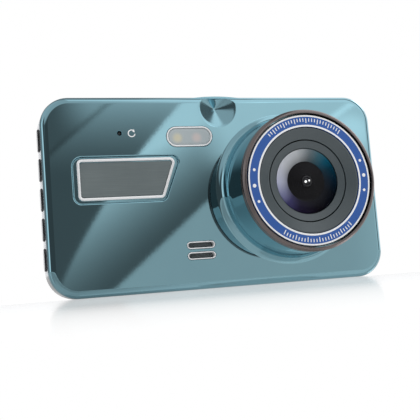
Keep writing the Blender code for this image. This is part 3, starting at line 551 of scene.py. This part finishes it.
LOOKS = {
    "teal_paint": paint(),
    "silver_trim": plain("silver_plating", (0.80, 0.82, 0.84), (0.86, 0.87, 0.88), 0.20, metallic=1.0,
                         grain=1.5, stretch=(0.3, 4.0, 0.3)),
    "black_shell": plain("moulded_black", (0.016, 0.016, 0.018), (0.023, 0.023, 0.025), 0.52, grain=5.0,
                         bump=0.5),
    "screen_glass": screen(),
    "display_foil": plain("satin_foil", (0.45, 0.46, 0.48), (0.55, 0.56, 0.58), 0.35, metallic=0.9,
                          grain=1.0),
    "flex_film": plain("amber_film", (0.42, 0.17, 0.03), (0.52, 0.23, 0.05), 0.35, grain=2.0),
    "gunmetal_trim": plain("bronze_grey_plating", (0.19, 0.165, 0.160), (0.24, 0.205, 0.20), 0.16,
                           metallic=1.0, grain=3.0, rough_spread=0.03),
    "label_print": ring_print(),
    "white_print": plain("white_ink", (0.86, 0.87, 0.88), (0.92, 0.92, 0.92), 0.4, grain=6.0),
    "hood_plastic": plain("satin_grey", (0.048, 0.066, 0.074), (0.058, 0.078, 0.086), 0.34, grain=6.0,
                          bump=0.15, specular_ior_level=0.8),
    "foam_rubber": plain("closed_foam", (0.012, 0.012, 0.012), (0.022, 0.022, 0.022), 0.85, grain=4.0,
                         bump=0.8),
    "barrel_black": plain("satin_black", (0.012, 0.013, 0.015), (0.018, 0.019, 0.021), 0.40, grain=4.0,
                          bump=0.2),
    "baffle_black": plain("baffle_black", (0.004, 0.004, 0.005), (0.007, 0.006, 0.008), 0.42, grain=4.0,
                          specular_ior_level=0.18),
    "eye_ring": plain("dark_ring_coating", (0.012, 0.012, 0.014), (0.020, 0.019, 0.022), 0.30, grain=4.0),
    "lens_glass": clear_glass(),
    # The inner lens look below has painted glints, and the front lens look after it a painted reflection
    "dark_glass_painted_glints": eye_glass_painted_glints(),
    "coating_painted_reflection": painted_lens_reflection(),
    "chip_resin": plain("moulded_resin", (0.012, 0.012, 0.013), (0.020, 0.020, 0.022), 0.5, grain=8.0,
                        bump=0.3),
    "circuit_board": circuit(),
    "screw_steel": plain("turned_steel", (0.50, 0.50, 0.51), (0.62, 0.62, 0.63), 0.28, metallic=1.0,
                         grain=4.0),
    "chrome_trim": plain("bright_chrome", (0.90, 0.91, 0.92), (0.95, 0.95, 0.96), 0.12, metallic=0.3,
                         grain=2.0, rough_spread=0.02),
    "frosted_lens": window_frost(),
    "led_phosphor": plain("yellow_phosphor", (0.75, 0.62, 0.22), (0.85, 0.75, 0.35), 0.5, grain=3.0,
                          bump=0.2),
    "brushed_plate": plate_metal(),
    "speaker_cloth": dust_mesh(),
    "speaker_shell": plain("satin_shell", (0.020, 0.020, 0.021), (0.032, 0.032, 0.034), 0.45, grain=3.0,
                           bump=0.2),
    "wire_sleeve": plain("red_sleeve", (0.40, 0.012, 0.012), (0.52, 0.020, 0.018), 0.42, grain=2.0),
    "switch_steel": plain("stamped_steel", (0.52, 0.52, 0.53), (0.62, 0.62, 0.64), 0.30, metallic=1.0,
                          grain=2.0, stretch=(1.0, 1.0, 5.0)),
    "key_gunmetal": plain("dark_plating", (0.030, 0.032, 0.036), (0.045, 0.047, 0.052), 0.18, metallic=0.6,
                          grain=3.0, coat=0.5),
    "spreader_plate": plain("milled_aluminium", (0.50, 0.50, 0.51), (0.60, 0.60, 0.61), 0.36, metallic=1.0,
                            grain=1.0, stretch=(6.0, 1.0, 0.4)),
    "card_plastic": plain("card_black", (0.014, 0.014, 0.017), (0.022, 0.022, 0.026), 0.38, grain=5.0,
                          bump=0.2),
    "cell_foil": plain("pouch_foil", (0.48, 0.49, 0.51), (0.60, 0.61, 0.63), 0.30, metallic=0.85, grain=0.7,
                       bump=0.4),
}


# ---------------------------------------------------------------- front cover

def recess_cutter(name, corners, depth, rounding):
    """A pocket cutter, rounded at its lip on the face and at its foot on the floor."""
    levels = [(-rounding, -1.0), (-rounding * 1.02, -0.02)]
    for angle in quarter(8, start=0.06):
        levels.append((-rounding * (1.0 - math.sin(angle)), rounding * (1.0 - math.cos(angle))))
    for angle in quarter(6)[1:]:
        levels.append((rounding * (1.0 - math.cos(angle)), depth - rounding + rounding * math.sin(angle)))
    return loft(name, corners, levels)


def opening_cutter(name, corners, lip):
    """A cutter right through the front wall, with a rounded lip at the face."""
    levels = [(-lip * 1.02, -1.0), (-lip * 1.02, -0.02)]
    for angle in quarter(6, start=0.08):
        levels.append((-lip * (1.0 - math.sin(angle)), lip * (1.0 - math.cos(angle))))
    levels.append((0.0, 4.0))
    return loft(name, corners, levels)


def scoop_cutter():
    """A conical scoop with a rounded lip, closed above by its roof."""
    mouth = SCOOP_R + 0.55
    lip = 2.4
    profile = [(0.0, 2.0), (mouth + 1.2, 2.0), (mouth + 0.1, 0.02)]
    slope = math.atan2(SCOOP_DEPTH, SCOOP_R)
    for step in range(7):
        angle = slope * (0.1 + 0.9 * step / 6)
        reach = SCOOP_R + 0.25 - lip * math.sin(angle) + lip * math.tan(slope / 2)
        profile.append((reach, -lip * (1.0 - math.cos(angle))))
    profile += [(0.9, -SCOOP_DEPTH * 0.87), (0.45, -SCOOP_DEPTH * 0.97), (0.0, -SCOOP_DEPTH)]
    cone = turned("scoop_cone", profile, SCOOP, closed=False, steps=128)
    above = box_corners((SCOOP[0], SCOOP_ROOF + 4.0), (24.0, 8.0), 0.3)
    roof = loft("scoop_roof", above, [(0.0, -3.0), (0.0, 4.0)], steps=3)
    return combine(cone, roof)


def boss():
    """The lens tube with a cove round its foot and a rounded tip."""
    outer = [(20.0, TUBE_PROUD)]
    tip = 0.25
    for angle in quarter(5):
        outer.append((20.45 + tip * math.sin(angle), TUBE_PROUD - tip + tip * math.cos(angle)))
    foot, cove_wide, cove_high = 23.6, 2.6, 3.4
    for angle in quarter(16):
        outer.append((foot - cove_wide * math.cos(angle), cove_high * (1.0 - math.sin(angle))))
    outer += [(foot, -0.8), (17.85, -0.8), (17.85, TUBE_PROUD)]
    return turned("boss", outer)


def hump():
    """The low swelling of the top edge over the scoop."""
    half, rise = 3.75, 0.12
    radius = (half ** 2 + rise ** 2) / (2 * rise)
    base = HEIGHT - 0.6
    centre_z = HEIGHT + rise - radius
    spread = math.acos((base - centre_z) / radius)
    arc = [(SCOOP[0] + radius * math.sin(spread * (1.0 - step / 16)),
            centre_z + radius * math.cos(spread * (1.0 - step / 16))) for step in range(33)]
    return slab("hump", arc, -0.9, -3.3)


def front_cover():
    """The shell with its tube and bosses, cut for the bore, the pin, the scoop and the face's parts."""
    levels = [(0.12, COVER_BACK), (0.0, COVER_BACK - 0.12)]
    for angle in quarter(12):
        levels.append((EDGE_ROUND * (1.0 - math.cos(angle)), EDGE_ROUND * (1.0 - math.sin(angle))))
    cover = loft("front_cover_shell", BODY, levels)
    cavity = loft("cavity", inset(BODY, 1.6), [(0.0, 4.6), (0.0, 1.8)], steps=8)
    combine(cover, cavity)
    pad = turned("pad", ((0.0, -1.2), (6.3, -1.2), (6.3, -3.4), (0.0, -3.4)), (SCOOP[0], 51.0),
                 closed=False, steps=48)
    sleeve = turned("sleeve", ((2.1, -1.2), (2.1, -4.2), (1.4, -4.2), (1.4, -1.2)), RESET, steps=32)
    combine(cover, hump(), boss(), pad, sleeve, operation="UNION")
    bore = turned("bore", ((0.0, 16.0), (18.85, 16.0), (18.85, -3.0), (0.0, -3.0)), closed=False)
    pin = turned("pin_hole", ((0.0, 1.0), (0.8, 1.0), (0.8, 0.02), (0.69, -0.08), (0.65, -0.2),
                              (0.65, -3.0), (0.0, -3.0)), RESET, closed=False, steps=48)
    combine(cover, bore, pin, scoop_cutter(),
            recess_cutter("plate_pocket", inset(PLATE_RECESS, 0.4), depth=0.9, rounding=0.35),
            opening_cutter("light_opening", obround(LIGHT_CENTRE, (14.5, 6.3)), 0.12),
            *[opening_cutter("slot_opening", obround(centre, (8.9, 2.4)), 0.12) for centre in SLOT_CENTRES])
    return piece(cover, "teal_paint", node="front_cover", sharp=40.0)


# ---------------------------------------------------------------- lens

def cap(radius, edge, apex, steps):
    """Points of a spherical surface from its apex on the axis out to its edge."""
    rise = apex - edge
    sphere = (radius ** 2 + rise ** 2) / (2 * rise)
    limit = math.asin(radius / sphere)
    angles = [limit * step / steps for step in range(steps + 1)]
    return [(sphere * math.sin(angle), apex - sphere * (1.0 - math.cos(angle))) for angle in angles]


def lens_mount():
    """The rings round the glass, from the bezel in to the barrel, as (radius, height, rounding)."""
    bezel = path([(19.95, 17.6, 0.0), (20.3, 17.6, 0.2), (20.9, 16.9, 0.3), (20.9, 16.2, 0.08),
                  (20.55, 16.05, 0.08), (20.55, 15.85, 0.08), (20.9, 15.7, 0.08), (20.9, 15.0, 0.12),
                  (19.75, 15.0, 0.0), (19.75, 17.45, 0.12)], steps=5)
    piece(turned("lens_bezel_ring", bezel), "gunmetal_trim", node="lens_bezel")
    label = path([(15.75, 17.0, 0.05), (19.2, 17.0, 0.05), (19.2, 16.3, 0.05), (15.75, 16.3, 0.05)],
                 steps=3)
    piece(turned("label_ring", label), "label_print", node="lens_label_ring")
    hood = path([(15.15, 16.75, 0.08), (15.55, 16.75, 0.08), (15.55, 16.15, 0.0), (19.55, 16.15, 0.05),
                 (19.55, 15.0, 0.0), (18.65, 15.0, 0.0), (18.65, 9.0, 0.0), (17.35, 9.0, 0.0),
                 (17.35, 14.2, 0.0), (12.25, 14.2, 0.05), (12.25, 15.6, 0.12), (12.6, 15.68, 0.3)], steps=5)
    piece(turned("lens_hood_dish", hood), "hood_plastic", node="lens_hood")
    barrel = path([(11.95, 15.5, 0.12), (11.95, 11.2, 0.0), (8.0, 10.0, 0.0), (8.0, 0.8, 0.0),
                   (6.8, 0.8, 0.0), (4.3, 1.4, 0.0), (4.3, 7.0, 0.0), (1.9, 7.2, 0.0), (1.9, 7.6, 0.0),
                   (3.0, 8.0, 0.0), (6.0, 8.0, 0.0), (6.0, 10.8, 0.05), (7.2, 10.8, 0.0),
                   (7.2, 11.6, 0.05), (8.4, 11.6, 0.0), (8.4, 12.3, 0.05), (9.8, 12.3, 0.0),
                   (9.8, 14.85, 0.08)], steps=4)
    piece(turned("lens_barrel_tube", barrel), "barrel_black", node="lens_barrel", look="hood_plastic")


def lens_glasses():
    """The domed front glass with its coated face in painted reflection colours, the stepped light baffles
    and the small inner lens with its painted glints.
    """
    dome = cap(9.65, 14.75, 17.35, 24)
    piece(turned("front_lens_dome", [*dome, (9.65, 14.45)], closed=False), "lens_glass", node="front_lens")
    coated = [(9.62, 14.6), (9.35, 14.78), (8.7, 14.72), (7.8, 14.5), (6.8, 14.22), (6.0, 13.95),
              (5.9, 13.8)]
    # The coated face's colours are a painted reflection, fixed to the glass
    piece(turned("front_lens_face_painted_reflection", coated, closed=False), "lens_glass", look="coating_painted_reflection")
    baffles = [(5.92, 13.9)]
    for index in range(8):
        radius = 5.5 - 0.5 * index
        height = 13.85 + 0.09 * index
        baffles += [(radius + 0.04, height), (radius, height + 0.06), (radius - 0.12, height + 0.07),
                    (radius - 0.16, height + 0.03)]
    baffles.append((1.5, 14.2))
    piece(turned("lens_light_baffles", baffles, closed=False), "barrel_black", look="baffle_black")
    ring = path([(1.35, 14.85, 0.08), (1.65, 14.7, 0.08), (1.7, 14.1, 0.0), (1.3, 14.1, 0.0),
                 (1.12, 14.6, 0.08)], steps=4)
    piece(turned("inner_lens_ring", ring), "lens_glass", look="eye_ring")
    # The inner lens's look carries two painted glints
    eye = [*cap(1.25, 14.35, 14.8, 12), (1.25, 8.2), (0.0, 8.2)]
    piece(turned("inner_lens_dome", eye, closed=False, steps=96), "lens_glass", node="inner_lens",
          look="dark_glass_painted_glints")


def sector(name, radii, angles, low, high, centre=LENS_AXIS, steps=2):
    """A thin raised mark between two radii and two angles in degrees."""
    first, last = angles
    outline = []
    for radius, order in zip(radii, (range(steps + 1), range(steps, -1, -1))):
        outline += [polar(centre, radius, first + (last - first) * step / steps) for step in order]
    return slab(name, outline, low, high)


def dot(name, centre, radius, low, high):
    """A thin round mark with a softened edge."""
    levels = ((0.0, -low), (0.0, 0.01 - high), (0.02, -high))
    turn = [360.0 * step / 32 for step in range(32)]
    rings = [[PLACE["Y"](*polar(centre, radius - by, degrees), place) for degrees in turn]
             for by, place in levels]
    return new_mesh(name, rings, closed=False, caps=True)


def label_marks():
    """White lines, dots and plain radial ticks on the label ring."""
    low, high = 16.98, 17.035
    marks = [turned("line", ((inner, low), (inner, high), (outer, high), (outer, low)))
             for inner, outer in ((18.72, 19.18), (15.78, 16.30))]
    small, large, dot_circle = 0.42, 0.54, 17.5
    for angle, radius in ((168.6, small), (183.7, large), (199.0, small), (17.5, small), (2.7, large),
                          (-11.9, small)):
        marks.append(dot("dot", polar(LENS_AXIS, dot_circle, angle), radius, low, high))
    pitch, half = 3.0, 0.42
    long_end, short_end, outer_end = 16.85, 17.25, 18.25
    for first, last in ((53.0, 131.0), (237.5, 310.5)):
        count = round((last - first) / pitch)
        for index in range(count + 1):
            angle = first + (last - first) * index / count
            inner_end = long_end if index % 4 == 0 else short_end
            marks.append(sector("tick", (inner_end, outer_end), (angle - half, angle + half), low, high))
    piece(gather("label_ring_marks", *marks), "label_print", look="white_print")


def reset_mark():
    """A small round arrow beside the reset hole."""
    centre = (-26.6, 47.35)
    low, high = -0.02, 0.03
    bow = sector("bow", (0.85, 1.15), (60.0, 350.0), low, high, centre, steps=40)
    corners = [polar(centre, radius, angle) for radius, angle in ((0.52, 60.0), (1.48, 60.0), (1.0, 18.0))]
    head = slab("head", corners, low, high)
    piece(gather("reset_round_arrow", bow, head), "label_print", look="white_print")


# ---------------------------------------------------------------- parts on the face

def rim(name, corners, width, top, foot, node, round_by=0.22):
    """A bright rim along an outline, with a rounded crest."""
    levels = [(0.0, foot)]
    for step in range(7):
        angle = math.pi * step / 6
        across = width / 2 * (1.0 - math.cos(angle))
        levels.append((across, top + round_by * (1.0 - math.sin(angle))))
    levels.append((width, foot))
    return piece(loft(name, corners, levels, closed=True), "chrome_trim", node=node, sharp=50.0)


def face_parts():
    """The plate, the light window and the speaker slots, each in its rim, and the cloth behind."""
    rim("plate_rim", PLATE_RIM, 0.85, 0.0, 0.75, "name_plate_bezel", round_by=0.3)
    plate = loft("plate_blank", PLATE_FACE, [(0.0, 0.75), (0.0, 0.42), (0.03, 0.37), (0.08, 0.35)])
    piece(plate, "brushed_plate", node="name_plate")
    rim("light_rim", obround(LIGHT_CENTRE, LIGHT_SIZE), 0.5, -0.3, 2.4, "light_bezel")
    window = obround(LIGHT_CENTRE, (LIGHT_SIZE[0] - 1.1, LIGHT_SIZE[1] - 1.1))
    levels = [(0.0, 2.7), (0.0, 0.15)]
    for angle in quarter(6):
        levels.append((0.9 * (1.0 - math.cos(angle)), -0.1 + 0.25 * (1.0 - math.sin(angle))))
    piece(loft("light_window_lens", window, levels), "frosted_lens", node="light_window")
    for name, centre in zip(("speaker_trim_upper", "speaker_trim_lower"), SLOT_CENTRES):
        rim(name + "_rim", obround(centre, SLOT_SIZE), 0.35, -0.25, 1.8, name, round_by=0.15)
    cloth = box_corners((-7.9, 11.575), (12.0, 8.4), 1.0)
    piece(loft("speaker_dust_cloth", cloth, [(0.0, 2.3), (0.0, 2.05), (0.05, 2.0)]), "speaker_cloth",
          node="speaker_mesh")


# ---------------------------------------------------------------- frame, keys and back

def middle_frame():
    """The silver band, cut for the keys and for the sockets of the top, right and bottom edges."""
    edge, bevel = 0.22, 0.06
    levels = [(1.5, BAND_FRONT), (edge, BAND_FRONT), (bevel, BAND_FRONT + bevel), (0.0, BAND_FRONT + edge),
              (0.0, BAND_BACK - edge), (bevel, BAND_BACK - bevel), (edge, BAND_BACK), (1.6, BAND_BACK),
              (1.6, 9.2), (1.5, 9.2)]
    band = loft("frame_band", BODY, levels, closed=True)
    openings = [loft("key_opening", box_corners((KEY_Y, z), (4.3, 6.9), 1.7),
                     [(0.0, -HALF_WIDTH - 1.0), (0.0, -HALF_WIDTH + 2.1)], along="X", steps=10)
                for z in KEY_ZS.values()]
    top = ((0.0, 56.4), (0.0, 60.0))
    right = ((0.0, 50.5), (0.0, 54.5))
    bottom = ((0.0, -1.0), (0.0, 2.5))
    usb = box_corners((-24.0, 6.125), (8.0, 3.85), 0.8)
    openings.append(loft("usb_opening", usb, top, along="Z", steps=8))
    jack = obround((14.0, 6.125), (4.0, 4.0))
    openings.append(loft("jack_opening", jack, top, along="Z", steps=16))
    socket = box_corners((0.0, 7.1), (14.1, 4.9), 0.2)
    openings.append(loft("socket_opening", socket, top, along="Z", steps=3))
    card = box_corners((7.2, 15.8), (1.2, 11.6), 0.4)
    openings.append(loft("card_opening", card, right, along="X", steps=8))
    microphone = obround((-24.0, 5.6), (1.0, 1.0))
    openings.append(loft("mic_opening", microphone, bottom, along="Z", steps=8))
    combine(band, *openings)
    piece(band, "silver_trim", node="middle_frame")


def keys():
    """The five side keys, each a cap with a rounded crown and a flange behind the band."""
    shoulder = -HALF_WIDTH - 0.1
    crown = 0.35
    inner_end = shoulder + 2.25
    levels = [(0.0, inner_end), (0.0, shoulder)]
    for angle in quarter(5):
        levels.append((crown * (1.0 - math.cos(angle)), shoulder - crown * math.sin(angle)))
    for name, z in KEY_ZS.items():
        key = loft(name + "_key_cap", box_corners((KEY_Y, z), (4.0, 6.6), 1.6), levels, along="X", steps=12)
        flange = loft("flange", box_corners((KEY_Y, z), (4.0, 7.8), 1.6),
                      [(0.0, shoulder + 1.67), (0.0, inner_end)], along="X", steps=8)
        combine(key, flange, operation="UNION")
        piece(key, "key_gunmetal", body=name + "_key", node=name + "_button")


def back():
    """The rear shell with its round edge, and the screen's cover glass in its seat."""
    edge = 1.6
    levels = [(0.0, REAR_FRONT), (0.0, REAR_EDGE)]
    for angle in quarter(10):
        levels.append((edge * (1.0 - math.cos(angle)), REAR_EDGE + edge * math.sin(angle)))
    shell = loft("rear_cover_shell", inset(BODY, 0.2), levels)
    room = loft("room", inset(BODY, 1.9), [(0.0, 9.5), (0.0, 12.0)], steps=8)
    middle = (0.0, HEIGHT / 2)
    window = loft("window", box_corners(middle, (92.0, 51.8), 0.8), [(0.0, 11.0), (0.0, 13.5)], steps=6)
    seat = loft("seat", box_corners(middle, (99.3, 53.5), 5.0), [(0.0, 12.85), (0.0, 15.0)])
    combine(shell, room, window, seat)
    piece(shell, "black_shell", node="rear_cover")
    glass = loft("screen_cover_glass", box_corners(middle, (99.0, 53.2), 4.85),
                 [(0.0, 13.0), (0.0, 13.75), (0.05, 13.88), (0.18, 13.95)])
    piece(glass, "screen_glass", node="screen_glass")


def reset_pin():
    """The stepped pin at the bottom of the reset hole."""
    profile = [(0.0, -0.5), (0.36, -0.5), (0.42, -0.56), (0.42, -2.0), (1.2, -2.0), (1.2, -2.6),
               (0.6, -2.6), (0.6, -6.0), (0.0, -6.0)]
    pin = turned("reset_pin_tip", profile, RESET, closed=False, steps=32)
    piece(pin, "barrel_black", body="reset_pin", node="reset_button")


# ---------------------------------------------------------------- studio

# In these, u and v are millimetres on the flat face, and a tone of 1.0 is white.

def dark_flag(tree, u, v):
    """The face's left part: dark, lighter towards its top and past a slanted crease."""
    rise = tree.math("MAXIMUM", tree.math("MULTIPLY_ADD", v, 0.0417, -1.417), 0.0)
    flag = tree.math("MULTIPLY_ADD", tree.math("POWER", rise, 2.0), 0.5, 0.115)
    crease = tree.math("SUBTRACT", v, tree.math("MULTIPLY_ADD", u, 0.8235, 83.2))
    corner_glow = tree.math("MULTIPLY", tree.step(v, 44.0, 58.0), tree.step(u, -50.0, -36.0))
    corner = tree.math("MULTIPLY_ADD", corner_glow, 0.40, 0.125)
    flag = tree.mix(tree.step(crease, -0.8, 1.0), flag, corner)
    line = tree.step(tree.math("ABSOLUTE", crease), 0.2, 1.3, 0.55, 1.0)
    return tree.math("MULTIPLY", flag, line)


def soft_band(tree, v, box_edge):
    """The fade between the flag and the box."""
    away = tree.math("MAXIMUM", tree.math("MULTIPLY", box_edge, -0.0333), 0.0)
    lift = tree.math("ADD", tree.math("MULTIPLY_ADD", v, 0.015, 0.62), tree.step(v, 38.0, 52.0, 0.0, 0.4))
    fade = tree.math("MULTIPLY", tree.math("POWER", away, 1.5), lift)
    return tree.math("MINIMUM", tree.math("MULTIPLY_ADD", fade, 0.5, 0.12), 1.0)


def bright_box(tree, u, v):
    """The face's right part: even below, brighter above, with a round glow and a pale streak."""
    low = tree.step(u, 38.0, 60.0, 0.53, 0.66)
    glow_u = tree.math("MULTIPLY", tree.math("SUBTRACT", u, 46.0), 0.10)
    glow_v = tree.math("MULTIPLY", tree.math("SUBTRACT", v, 46.0), 0.12)
    reach = tree.math("ADD", *[tree.math("MULTIPLY", side, side) for side in (glow_u, glow_v)])
    glow = tree.step(reach, 0.0, 1.0, 0.28, 0.0)
    slant = tree.math("ABSOLUTE", tree.math("SUBTRACT", v, tree.math("MULTIPLY_ADD", u, 0.583, 28.4)))
    streak = tree.math("MULTIPLY", tree.step(slant, 0.3, 1.6, 0.35, 0.0), tree.step(u, 34.0, 40.0))
    high = tree.math("ADD", tree.math("ADD", glow, streak), 0.92)
    return tree.mix(tree.step(v, 24.0, 50.0), low, high)


def face_reflection(tree, u, v):
    """What the flat face mirrors at a place on it."""
    bend = tree.math("MULTIPLY_ADD", tree.math("MULTIPLY", v, v), 0.0045, -51.3)
    flag_edge = tree.math("SUBTRACT", u, tree.math("MULTIPLY_ADD", v, 0.47, bend))
    box_edge = tree.math("SUBTRACT", u, tree.math("MULTIPLY_ADD", v, 1.2222, -36.67))
    over_lens = tree.math("MULTIPLY", tree.step(u, -9.0, 5.0), tree.step(v, 33.0, 42.0))
    in_box = tree.math("MAXIMUM", tree.step(box_edge, -0.6, 0.9), over_lens)
    face = tree.mix(in_box, soft_band(tree, v, box_edge), bright_box(tree, u, v))
    return tree.mix(tree.step(flag_edge, -0.5, 0.5), dark_flag(tree, u, v), face)


def ahead_and_sides(tree, direction, azimuth, u, v):
    """The studio's front half: the face's pattern, a box on the left, a dark gap far right, a lit top."""
    z = direction[2]
    left_box = tree.math("MULTIPLY", tree.step(azimuth, -82.0, -73.0, 1.1, 0.0),
                         tree.step(azimuth, -105.0, -98.0))
    left = tree.math("MAXIMUM", left_box, tree.step(azimuth, -110.0, -100.0, 0.3, 0.08))
    left = tree.mix(tree.step(z, 0.35, 0.6), left, 0.6)
    wide = tree.mix(tree.step(u, -66.0, -56.0), left, face_reflection(tree, u, v))
    from_gap = tree.math("ABSOLUTE", tree.math("SUBTRACT", u, 520.0))
    wide = tree.mix(tree.step(u, 90.0, 200.0), wide, tree.step(from_gap, 150.0, 330.0, 0.12, 0.8))
    above = tree.math("MULTIPLY", tree.step(v, 60.0, 110.0), tree.step(u, 200.0, 330.0, 1.0, 0.0))
    wide = tree.mix(above, wide, tree.step(u, -45.0, 30.0, 0.55, 1.05))
    return tree.mix(tree.step(azimuth, -60.0, -45.0), left, wide)


def behind_object(tree, direction):
    """The studio's back half: a box straight behind, a lit right side, dim elsewhere."""
    x, _, z = direction
    straight = tree.math("MULTIPLY", tree.step(tree.math("ABSOLUTE", x), 0.14, 0.26, 1.0, 0.0),
                         tree.step(tree.math("ABSOLUTE", z), 0.27, 0.36, 1.0, 0.0))
    lit = tree.math("MAXIMUM", straight, tree.step(x, 0.1, 0.4))
    return tree.math("MAXIMUM", lit, tree.step(z, 0.15, 0.5, 0.08, 0.3))


def studio_world():
    """Plain white to the camera, with the soft boxes and dark flags that the gloss reflects."""
    world = bpy.data.worlds.new("studio")
    bpy.context.scene.world = world
    tree = Tree(world)
    coordinates = tree.add("TexCoord").outputs["Generated"]
    direction = tree.split(coordinates)
    x, y, z = direction
    # The place on the flat face where the photograph's camera sees this direction, in millimetres
    forward = tree.math("MULTIPLY", y, -1.0)
    ahead = tree.math("MAXIMUM", forward, 0.02)
    distance = -CAMERA_AT[1]
    u = tree.math("MULTIPLY_ADD", tree.math("DIVIDE", x, ahead), distance, LAID_OUT_FROM[0])
    v = tree.math("MULTIPLY_ADD", tree.math("DIVIDE", z, ahead), distance, LAID_OUT_FROM[1])
    azimuth = tree.math("DEGREES", tree.math("ARCTAN2", x, forward))
    wide = ahead_and_sides(tree, direction, azimuth, u, v)
    away = tree.step(y, -0.12, 0.05)
    back_left = tree.math("MULTIPLY", away, tree.step(azimuth, -150.0, -135.0, 1.0, 0.0))
    behind = tree.math("MAXIMUM", back_left, tree.math("MULTIPLY", away, tree.step(x, -0.2, 0.0)))
    pattern = tree.mix(behind, wide, behind_object(tree, direction))
    # A small strong lamp behind on the right, above
    lamp_at = Vector((0.77, 0.29, 0.57)).normalized()
    near = tree.add("VectorMath", {0: coordinates, 1: lamp_at}, operation="DOT_PRODUCT").outputs["Value"]
    pattern = tree.math("ADD", pattern, tree.step(near, 0.975, 0.995, 0.0, 3.0))
    cool = tree.tint(tree.step(v, 35.0, 75.0), rgba((1.0, 1.0, 1.0)), rgba((0.99, 1.0, 1.02)))
    gloss = tree.add("VectorMath", {0: cool, "Scale": pattern}, operation="SCALE").outputs[0]
    soft = tree.step(z, -0.1, 0.9, 0.72, 1.25)
    soft_colour = tree.add("CombineXYZ", {0: soft, 1: soft, 2: soft}).outputs[0]
    ray = tree.add("LightPath").outputs
    seen = tree.tint(ray["Is Diffuse Ray"], gloss, soft_colour)
    seen = tree.tint(ray["Is Camera Ray"], seen, rgba((1.0, 1.0, 1.0)))
    tree.put(tree.nodes["Background"].inputs["Color"], seen)


def floor():
    """Pale floor that mirrors the foot of the object faintly."""
    reach = 6.0
    corners = [(-reach, -reach, 0.0), (reach, -reach, 0.0), (reach, reach, 0.0), (-reach, reach, 0.0)]
    mesh = bpy.data.meshes.new("floor")
    mesh.from_pydata(corners, [], [(0, 1, 2, 3)])
    item = bpy.data.objects.new("floor", mesh)
    bpy.context.scene.collection.objects.link(item)
    material = bpy.data.materials.new("pale_floor")
    tree = Tree(material)
    tree.nodes.remove(tree.nodes["Principled BSDF"])
    place = tree.split(tree.body_place())
    # The gloss lies under the object and in front of it. Seen straight on, it also ends beside it
    in_gloss = tree.add("LightPath").outputs["Is Glossy Ray"]
    ahead = tree.step(place[1], -214.0, -168.0, 0.0, 1.0)
    past = tree.step(place[1], 10.0, 40.0, 1.0, 0.0)
    beside = tree.math("MULTIPLY", tree.step(place[0], -110.0, -80.0),
                       tree.step(place[0], 70.0, 100.0, 1.0, 0.0))
    strength = tree.mix(in_gloss, tree.math("MULTIPLY", beside, 0.5), 0.25)
    share = tree.math("MULTIPLY", tree.math("MULTIPLY", ahead, past), strength)
    matt = tree.add("BsdfDiffuse", {"Color": rgba((0.9, 0.9, 0.9))})
    glow_level = tree.mix(in_gloss, 1.04, tree.step(place[0], -45.0, 10.0, 0.30, 0.56))
    glow = tree.add("Emission", {"Color": rgba((1.0, 1.0, 1.0)), "Strength": glow_level})
    base = tree.add("MixShader", {0: 0.8, 1: matt.outputs[0], 2: glow.outputs[0]})
    shine = tree.add("BsdfGlossy", {"Roughness": 0.05, "Color": rgba((1.0, 1.0, 1.0))})
    both = tree.add("MixShader", {0: share, 1: base.outputs[0], 2: shine.outputs[0]})
    tree.put(tree.nodes["Material Output"].inputs["Surface"], both.outputs[0])
    mesh.materials.append(material)


def camera():
    """The photograph's view."""
    data = bpy.data.cameras.new("view")
    data.sensor_width = 36.0
    data.lens = CAMERA_LENS
    data.clip_start = 0.01
    item = bpy.data.objects.new("view", data)
    item.location = ORIGIN + Vector(CAMERA_AT) * MM
    item.rotation_euler = [math.radians(angle) for angle in CAMERA_TURN]
    bpy.context.scene.collection.objects.link(item)
    bpy.context.scene.camera = item


# ---------------------------------------------------------------- assembly

# Every CAD node gets the look of its slot, and the pieces below stand for some of them
for node in frame["record"]["subparts"]:
    for holder in frame["nodes"][node["node"]].material_slots:
        holder.material = LOOKS[node["material_slot"]]

front_cover()
lens_mount()
lens_glasses()
label_marks()
reset_mark()
face_parts()
middle_frame()
keys()
back()
reset_pin()
studio_world()
floor()
camera()
bpy.context.scene.view_settings.view_transform = "Standard"
